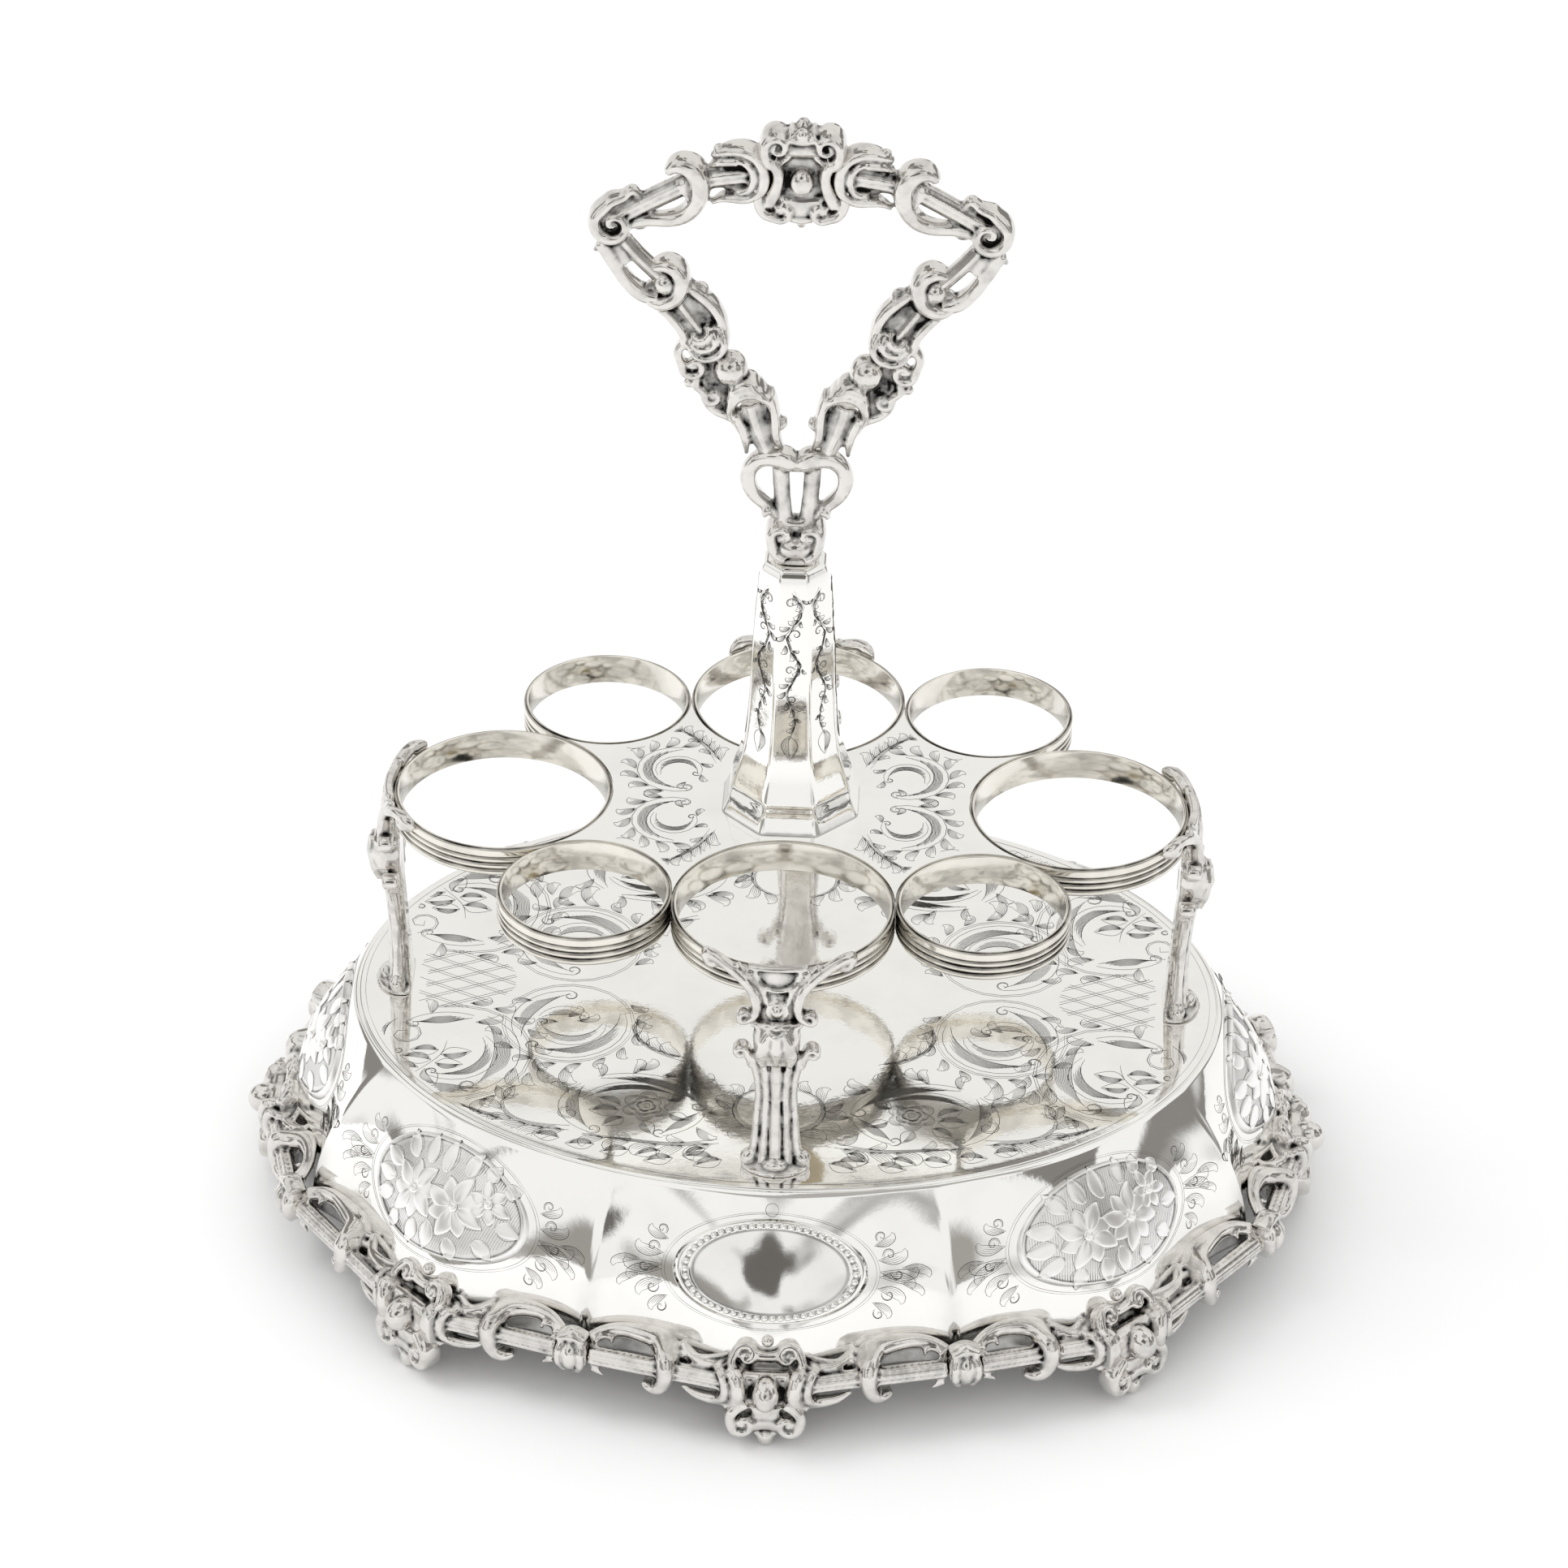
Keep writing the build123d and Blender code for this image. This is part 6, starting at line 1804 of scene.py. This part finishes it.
        upper.leaves([2.4+0.6j, 8.2+3.4j, 2.6-1.4j, 9.6-1.6j, 1.4-4j, 6.2-7.2j, -3-5j, -5.4-10j, -8.6-2j,
            -13.4-4.2j, -8+3j, -12.6+5.8j])
        upper.lobes([-12.4+9.6j, -16.8+14.2j, -7+11.6j, -9.4+17j, 0.4+12.6j, 0.2+18.2j, 7.4+11j, 9.4+15.6j,
            14.6+4.4j, 19+7.2j, -15.2-6.8j, -20.2-9.8j, -17.2-1j, -22.4+1.4j], 0.4, 5)
        lower = work.at(0j)
        lower.vine([13-60j, 22-61.5j, 32-60.5j, 44-58.5j], 5, (5.4, 4.4), -1, 50, both=True)
        lower.vine([47-57j, 55-56j, 62-51.5j, 63-46.5j, 59.5-44j], 6, (5.6, 3), -1, 50)
        lower.vine([62-54j, 68-51.5j, 73-48.5j], 3, (4.4, 3.2), -1)
        lower.leaves([12-66j, 18.4-68.6j, 14-65.4j, 21-65j, 23-66j, 29.6-67.4j, 26-63.4j, 31.6-65.4j,
            33-63.6j, 39.6-64.6j, 41-62j, 47.6-62j, 49-60j, 55.2-58.6j, 16-62j, 20.6-64.4j])
        lower.vine([3-56j, 8-53j, 10.6-47.5j, 8.4-41j, 4-38.5j], 6, (5.2, 3.4), -1)
        lower.lobes([61-34j, 58.4-40.2j, 64.6-41j, 60.2-44.6j, 55.6-33.4j, 50.4-37.4j, 66-46j, 67.4-51.6j,
            49.4-33j, 46-38.6j, 20-38.6j, 15.4-36j, 27-35j, 22.4-31.2j, 33-33.4j, 30.2-28.6j, 14.6-43.4j,
            10-44.6j], 0.46, 6)
        lower.vine([22-28j, 29-25j, 34-19j, 33.6-12j], 5, (4.8, 3.2), 1)

    def plate(self) -> None:
        """Engraving of the base plate, one piece for each quarter, and its trellises and rim."""
        for name, across, along in (("front_right", 1, 1), ("front_left", -1, 1), ("back_right", 1, -1),
                ("back_left", -1, -1)):
            work = Engraver(allowed=self.on_plate, lush=1.35).handed(across, along)
            self.plate_quarter(work)
            self.piece("plate_engraving_" + name, work.lay(self.level(PLATE_TOP)))
        work = Engraver(allowed=self.on_plate)
        for side in (-1, 1):
            self.trellis(work, side * 77 + 0j, 14+11.5j, 4.6)
        work.allowed = None
        for start in range(0, 360, 24):
            turns = np.radians(np.linspace(start, start + 24, 5))
            work.cut(ellipse((PLATE_LONG - self.rim_line, PLATE_WIDE - self.rim_line), turns), 0.08)
        self.piece("plate_engraving_trellis", work.lay(self.level(PLATE_TOP)))

    def deck_quarter(self, work: Engraver) -> None:
        """Lines of one quarter of the deck, drawn for the one at +X and +Y."""
        scroll = work.at(26.6+10.4j)
        scroll.moon(0j, 9.2, 5.8, 96, -205, 9)
        scroll.moon(-0.4+0j, 5.4, 2.9, -30, 230, 7)
        scroll.wreath(8, -74, 24, 9.4+0j, 13.2+2.2j)
        scroll.at(-0.4+0j).wreath(3, 150, 50, 5.6+0j, 8+1.4j, 4)
        work.vine([16.6+14j, 19.6+20j, 24+25j, 28.4+28.2j], 6, (4.4, 2.8), 1, both=True)
        work.leaf(34.6+19.4j, 41.4+22.4j)

    def deck(self) -> None:
        """Engraving of the deck: scrolls at both sides of the stem, leaves towards the rings."""
        work = Engraver(allowed=self.on_deck, lush=1.2)
        for across in (1, -1):
            for along in (1, -1):
                self.deck_quarter(work.handed(across, along))
        self.piece("deck_engraving", work.lay(self.level(DECK)))

    @staticmethod
    def stem_vine(work: Engraver) -> None:
        """Acanthus vine that winds down one flat of the stem, across it and up from the deck."""
        work.vine([0.4+60j, -1.7+57j, -1.4+53.5j, 1.2+50.5j, 1.6+47j, -1.1+43.5j, -1.6+40j, 0.9+36.5j,
            1.3+33j, -0.7+29.5j, -0.8+26j, 0.4+22.5j], 17, (2.4, 2.0), 1, 55.0, 0.5, True)
        for centre, size, start, sweep in ((0.5+57.4j, 1.4, 150, -430), (-0.7+49.6j, 1.3, 20, 430),
                (0.5+40.4j, 1.2, 160, -430), (-0.2+32.8j, 1.0, 20, 430)):
            work.eye(centre, size, start, sweep)
        work.leaf(0.4+23.5j, 0.1+17.5j)

    def stem(self, shape: Stem) -> None:
        """Engraving of all eight flats, mirrored from one to the next."""
        made = []
        for number in range(8):
            angle = number * FULL_TURN / 8
            work = Engraver().handed(1 if number % 2 else -1, 1)
            self.stem_vine(work)

            def onto(flat: Array, angle: float = angle) -> Tuple[Array, Array]:
                """Points and normals on one flat: across it and up from the deck."""
                width = shape.half_width(flat.imag)
                out = np.array([cos(angle), sin(angle), 0.0])
                across = np.array([-sin(angle), cos(angle), 0.0])
                points = width[:, None] * out + flat.real[:, None] * across
                points = points + (flat.imag + DECK)[:, None] * np.array([0.0, 0.0, 1.0])
                return points, np.broadcast_to(out, points.shape)

            made.append(work.lay(onto))
        self.piece("stem_engraving", Skin.joined(made))

    @staticmethod
    def around(work: Engraver, oval: Medallion) -> None:
        """Outline of a medallion, its bead, and a pointed cluster of scrolls at each end."""
        long_half, high_half = oval.reach
        for grow, width in ((1.08, 0.1), (1.11, 0.07)):
            for start in range(0, 360, 40):
                turns = np.radians(np.linspace(start, start + 40, 5))
                work.cut(grow * ellipse(oval.reach, turns), width)
        for hand in (1, -1):
            end = work.handed(hand, 1).at(complex(long_half * 1.1, 0))
            for root, tip, bow in ((0.2+0.6j, 8.4+2.4j, -0.3), (0.2-0.6j, 7.6-3.4j, 0.3),
                    (-0.2+3.2j, 5.4+6.4j, -0.36), (-0.2-3.2j, 5.0-7.0j, 0.36), (-1.2+6.4j, 2.4+9.8j, -0.36),
                    (-1.2-6.4j, 2.0-10.2j, 0.36), (5.2+1.6j, 11.2-0.6j, 0.3), (5.0-1.8j, 9.6-4.8j, 0.3)):
                end.lobe(root, tip, bow, 4)
            for centre, size, start, sweep in ((2.2+4.6j, 1.6, 200, -420), (2.2-4.6j, 1.6, 160, 420),
                    (0.2+8.6j, 1.4, 230, -420), (0.2-9.0j, 1.4, 130, 420), (4.2+0.2j, 1.5, 180, 420)):
                end.eye(centre, size, start, sweep)
        if oval.plain:
            work.cut(spiral(complex(0, high_half * 1.12 + 0.4), 1.5, 1.5, 0, 360, 9), 0.12)
            return
        for number in range(70):
            x = long_half * 0.9 * (number - 34.5) / 35
            tall = 0.9 * high_half * sqrt(max(1 - (x / (0.91 * long_half)) ** 2, 0))
            work.cut([complex(x + 0.2 * tall, tall), complex(x, 0), complex(x - 0.2 * tall, -tall)], 0.06)
        for base, tip, width, _ in oval.blades():
            run = tip - base
            side = 1j * run / abs(run) * (width + 0.12)
            for edge in (side, -side):
                work.cut([base, base + run * 0.22 + edge * 0.8, base + run * 0.45 + edge,
                    base + run * 0.78 + edge * 0.62, tip + run * 0.03], 0.1)

    def skirt(self) -> None:
        """Engraving round each medallion, laid on its panel."""
        made = []
        for index in range(8):
            oval = Medallion(index)
            seat = oval.seat()
            work = Engraver()
            self.around(work, oval)
            sheet = LINES.sheet(index, np.linspace(0.02, 0.97, 60), 0, 241)
            slope = unit(np.cross(np.gradient(sheet, axis=1), np.gradient(sheet, axis=0)))
            slope = slope * np.sign(slope @ seat.outward)[..., None]
            axes = np.stack([np.asarray(seat.right), np.asarray(seat.up), seat.outward])
            ground = ((sheet - np.asarray(seat.origin)) @ axes.T).reshape(-1, 3)
            facing = (slope @ axes.T).reshape(-1, 3)

            def onto(flat: Array, oval: Medallion = oval, seat: Seat = seat, ground: Array = ground,
                    facing: Array = facing) -> Tuple[Array, Array]:
                """Points and normals: the plane at the panel's nearest known point, or the medallion."""
                parts = np.array_split(flat[:, None], max(len(flat) // 400, 1))
                near = np.concatenate([np.argmin((part.real - ground[:, 0]) ** 2
                    + (part.imag - ground[:, 1]) ** 2, axis=1) for part in parts])
                away_x = flat.real - ground[near, 0]
                away_y = flat.imag - ground[near, 1]
                tilt = facing[near]
                height = ground[near, 2] - (tilt[:, 0] * away_x + tilt[:, 1] * away_y) / tilt[:, 2]
                share = oval.share(flat)
                height = np.where(share < 1.0, oval.bulge(flat) + oval.profile(share), height)
                level = np.where(share[:, None] < 1.0, np.array([0.0, 0.0, 1.0]), tilt)
                return seat.at(flat, height), level @ axes

            made.append(work.lay(onto, 0.05))
        self.piece("skirt_engraving_front", Skin.joined([made[0], made[1], made[7], made[2]]))
        self.piece("skirt_engraving_back", Skin.joined(made[3:7]))

    def build(self, stem: Stem) -> None:
        """Cut all the engraving."""
        self.plate()
        self.deck()
        self.stem(stem)
        self.skirt()


def dress_kept_nodes() -> None:
    """Give the solids that stay visible their silver or brass finish."""
    for name, finish in (("deck_plate", POLISHED), ("tie_rod", FITTING), ("tie_rod_washer", FITTING),
            ("tie_rod_nut", FITTING), ("leg_nuts", FITTING)):
        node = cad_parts[name]
        node.data.materials.clear()
        node.data.materials.append(finish.material())
        log.info("%s keeps its solid", name)


@dataclass(frozen=True)
class Opening:
    """A darker patch of the light tent: its direction, its edge in degrees and its colour."""

    direction: Tuple[float, float, float]
    inner: float
    outer: float
    colour: str


@dataclass
class Studio:
    """White floor, soft light and the camera that the photograph was taken from."""

    distance: float = 1.411
    elevation: float = 33.726
    azimuth: float = 1.805
    roll: float = 1.038
    focal_px: float = 7618.0
    frame_px: float = 1932.0
    aim_px: Tuple[float, float] = (974.685, 983.748)
    sensor_mm: float = 36.0
    tent: str = "FAFAF9"
    soft_strength: float = 0.99
    bend: float = 0.5
    second_share: float = 0.3
    openings: Tuple[Opening, ...] = (Opening((0.0, 1.0, 0.5), 30, 62, "F3F2F0"),
        Opening((0.03, -0.83, 0.55), 2, 22, "6E6B68"), Opening((-0.85, -0.35, 0.42), 4, 16, "7C7976"),
        Opening((0.85, -0.3, 0.5), 4, 15, "85827F"), Opening((-0.3, 0.75, 0.95), 7, 15, "8A8682"),
        Opening((0.5, 0.9, 0.12), 8, 18, "8A8783"), Opening((0.25, -0.35, 1.0), 4, 10, "B4B1AE"),
        Opening((-0.72, -0.68, 0.02), 3, 26, "A19E9A"), Opening((0.76, -0.62, 0.0), 3, 26, "A6A39F"),
        Opening((-0.98, 0.3, 0.1), 2, 26, "8B8885"), Opening((0.98, 0.3, 0.08), 2, 26, "8B8885"))

    def camera(self) -> None:
        """Camera fitted to the rings, the plate and the border of the photograph.

        The view is first aimed at the middle of the ring plane, then turned by the small
        rotation that carries the optical axis from that point to the picture's centre.
        """
        el, az, ro = (radians(angle) for angle in (self.elevation, self.azimuth, self.roll))
        back = np.array([sin(az) * cos(el), -cos(az) * cos(el), sin(el)])
        right = np.array([cos(az), sin(az), 0.0])
        up = np.cross(back, right)
        tilted_right = cos(ro) * right + sin(ro) * up
        tilted_up = -sin(ro) * right + cos(ro) * up
        half = self.frame_px / 2
        towards = unit(np.array([(self.aim_px[0] - half) / self.focal_px,
            -(self.aim_px[1] - half) / self.focal_px, -1.0]))
        ahead = np.array([0.0, 0.0, -1.0])
        axis = np.cross(ahead, towards)
        sine = np.linalg.norm(axis)
        axis = axis / sine
        cross = np.array([[0, -axis[2], axis[1]], [axis[2], 0, -axis[0]], [-axis[1], axis[0], 0]])
        turn = np.eye(3) + sine * cross + (1 - float(ahead @ towards)) * cross @ cross
        axes = turn @ np.stack([tilted_right, tilted_up, back])
        lens = bpy.data.cameras.new("photo_camera")
        lens.lens = self.focal_px / self.frame_px * self.sensor_mm
        lens.sensor_width = self.sensor_mm
        lens.clip_end = 20.0
        eye = bpy.data.objects.new("photo_camera", lens)
        link(eye)
        place_at = back * self.distance + np.array([0.0, 0.0, DECK * METRE])
        eye.matrix_world = Matrix([[*axes[:, row], place_at[row]] for row in range(3)] + [[0, 0, 0, 1]])
        bpy.context.scene.camera = eye

    def floor(self) -> None:
        """White table top, matt, seen white by the camera and in reflections, with its shadow."""
        far = 3000.0
        corners = np.array([(x, y, -0.05) for x, y in ((-far, -far), (far, -far), (far, far), (-far, far))])
        mesh = make_mesh("table_top", Skin(corners, np.array([[0, 1, 2, 3]]), np.zeros((0, 3), int)))
        mesh.vertices.foreach_set("co", (corners * METRE).ravel())
        table = bpy.data.objects.new("table_top", mesh)
        link(table)
        made = bpy.data.materials.new("white_card")
        made.use_nodes = True
        shader = made.node_tree.nodes["Principled BSDF"]
        shader.inputs["Base Color"].default_value = linear("FBFBFB")
        shader.inputs["Roughness"].default_value = 0.9
        shader.inputs["Specular IOR Level"].default_value = 0.1
        mesh.materials.append(made)

    def world(self) -> None:
        """White light tent: even light for matt surfaces, and for metal its darker openings too.

        Each opening is a round patch of directions with a soft edge that a slow noise bends. In
        a reflection of a reflection the openings are weaker.
        """
        world = bpy.data.worlds.new("light_tent")
        bpy.context.scene.world = world
        world.use_nodes = True
        tree = world.node_tree
        tree.nodes.clear()
        spot = add_node(tree, "TexCoord", out="Generated")
        noise = add_node(tree, "TexNoise", {"Vector": spot, "Scale": 2.6, "Detail": 1.0}, "Color")
        centred = add_node(tree, "VectorMath", {0: noise, 1: (0.5, 0.5, 0.5)}, operation="SUBTRACT")
        bent = add_node(tree, "VectorMath", {0: centred, "Scale": self.bend}, operation="SCALE")
        way = add_node(tree, "VectorMath", {0: spot, 1: bent}, operation="ADD")
        colour = linear(self.tent)
        for opening in self.openings:
            facing = unit(np.asarray(opening.direction, float))
            near = add_node(tree, "VectorMath", {0: way, 1: tuple(facing)}, "Value", operation="DOT_PRODUCT")
            mask = add_node(tree, "MapRange", {"Value": near, "From Min": cos(radians(opening.outer)),
                "From Max": cos(radians(opening.inner))}, interpolation_type="SMOOTHSTEP")
            colour = add_node(tree, "Mix", {0: mask, 6: colour, 7: linear(opening.colour)}, 2,
                data_type="RGBA")
        rays = add_node(tree, "LightPath").node.outputs
        soft = add_node(tree, "Background", {"Color": linear("FFFFFF"), "Strength": self.soft_strength})
        seen = add_node(tree, "Background", {"Color": colour, "Strength": 1.0})
        white = add_node(tree, "Background", {"Color": linear("FFFFFF"), "Strength": 1.0})
        first = remapped(tree, rays["Glossy Depth"], 1.0, 2.0, 1.0, self.second_share)
        shiny = add_node(tree, "Math", {0: rays["Is Glossy Ray"], 1: first}, operation="MULTIPLY")
        metal = add_node(tree, "MixShader", {0: shiny, 1: soft, 2: seen})
        final = add_node(tree, "MixShader", {0: rays["Is Camera Ray"], 1: metal, 2: white})
        add_node(tree, "OutputWorld", {"Surface": final})

    def lamp(self, name: str, spot: Tuple[float, float, float], size: float, power: float) -> None:
        """Square soft box that faces the object."""
        light = bpy.data.lights.new(name, "AREA")
        light.shape = "SQUARE"
        light.size = size
        light.energy = power
        lamp = bpy.data.objects.new(name, light)
        lamp.visible_glossy = False
        link(lamp)
        eye = np.asarray(spot, float)
        back = unit(eye - np.array([0.0, 0.0, 0.1]))
        right = unit(np.cross([0.0, 0.0, 1.0], back))
        up = np.cross(back, right)
        rows = [(right[row], up[row], back[row], eye[row]) for row in range(3)]
        lamp.matrix_world = Matrix(rows + [(0, 0, 0, 1)])

    def build(self) -> None:
        """Set the stage."""
        self.camera()
        self.floor()
        self.world()
        self.lamp("soft_box_left", (-1.3, 0.1, 1.7), 0.9, 9.0)
        bpy.context.scene.view_settings.view_transform = "Standard"


def main() -> None:
    """Build the frame piece by piece and light it."""
    logging.basicConfig(level=logging.INFO, format="%(message)s")
    Studio().build()
    stem = Stem()
    Base().build()
    Border().build()
    Rings().build()
    stem.build()
    Legs().build()
    Handle().build()
    Engraving().build(stem)
    dress_kept_nodes()


if __name__ == "__main__":
    main()
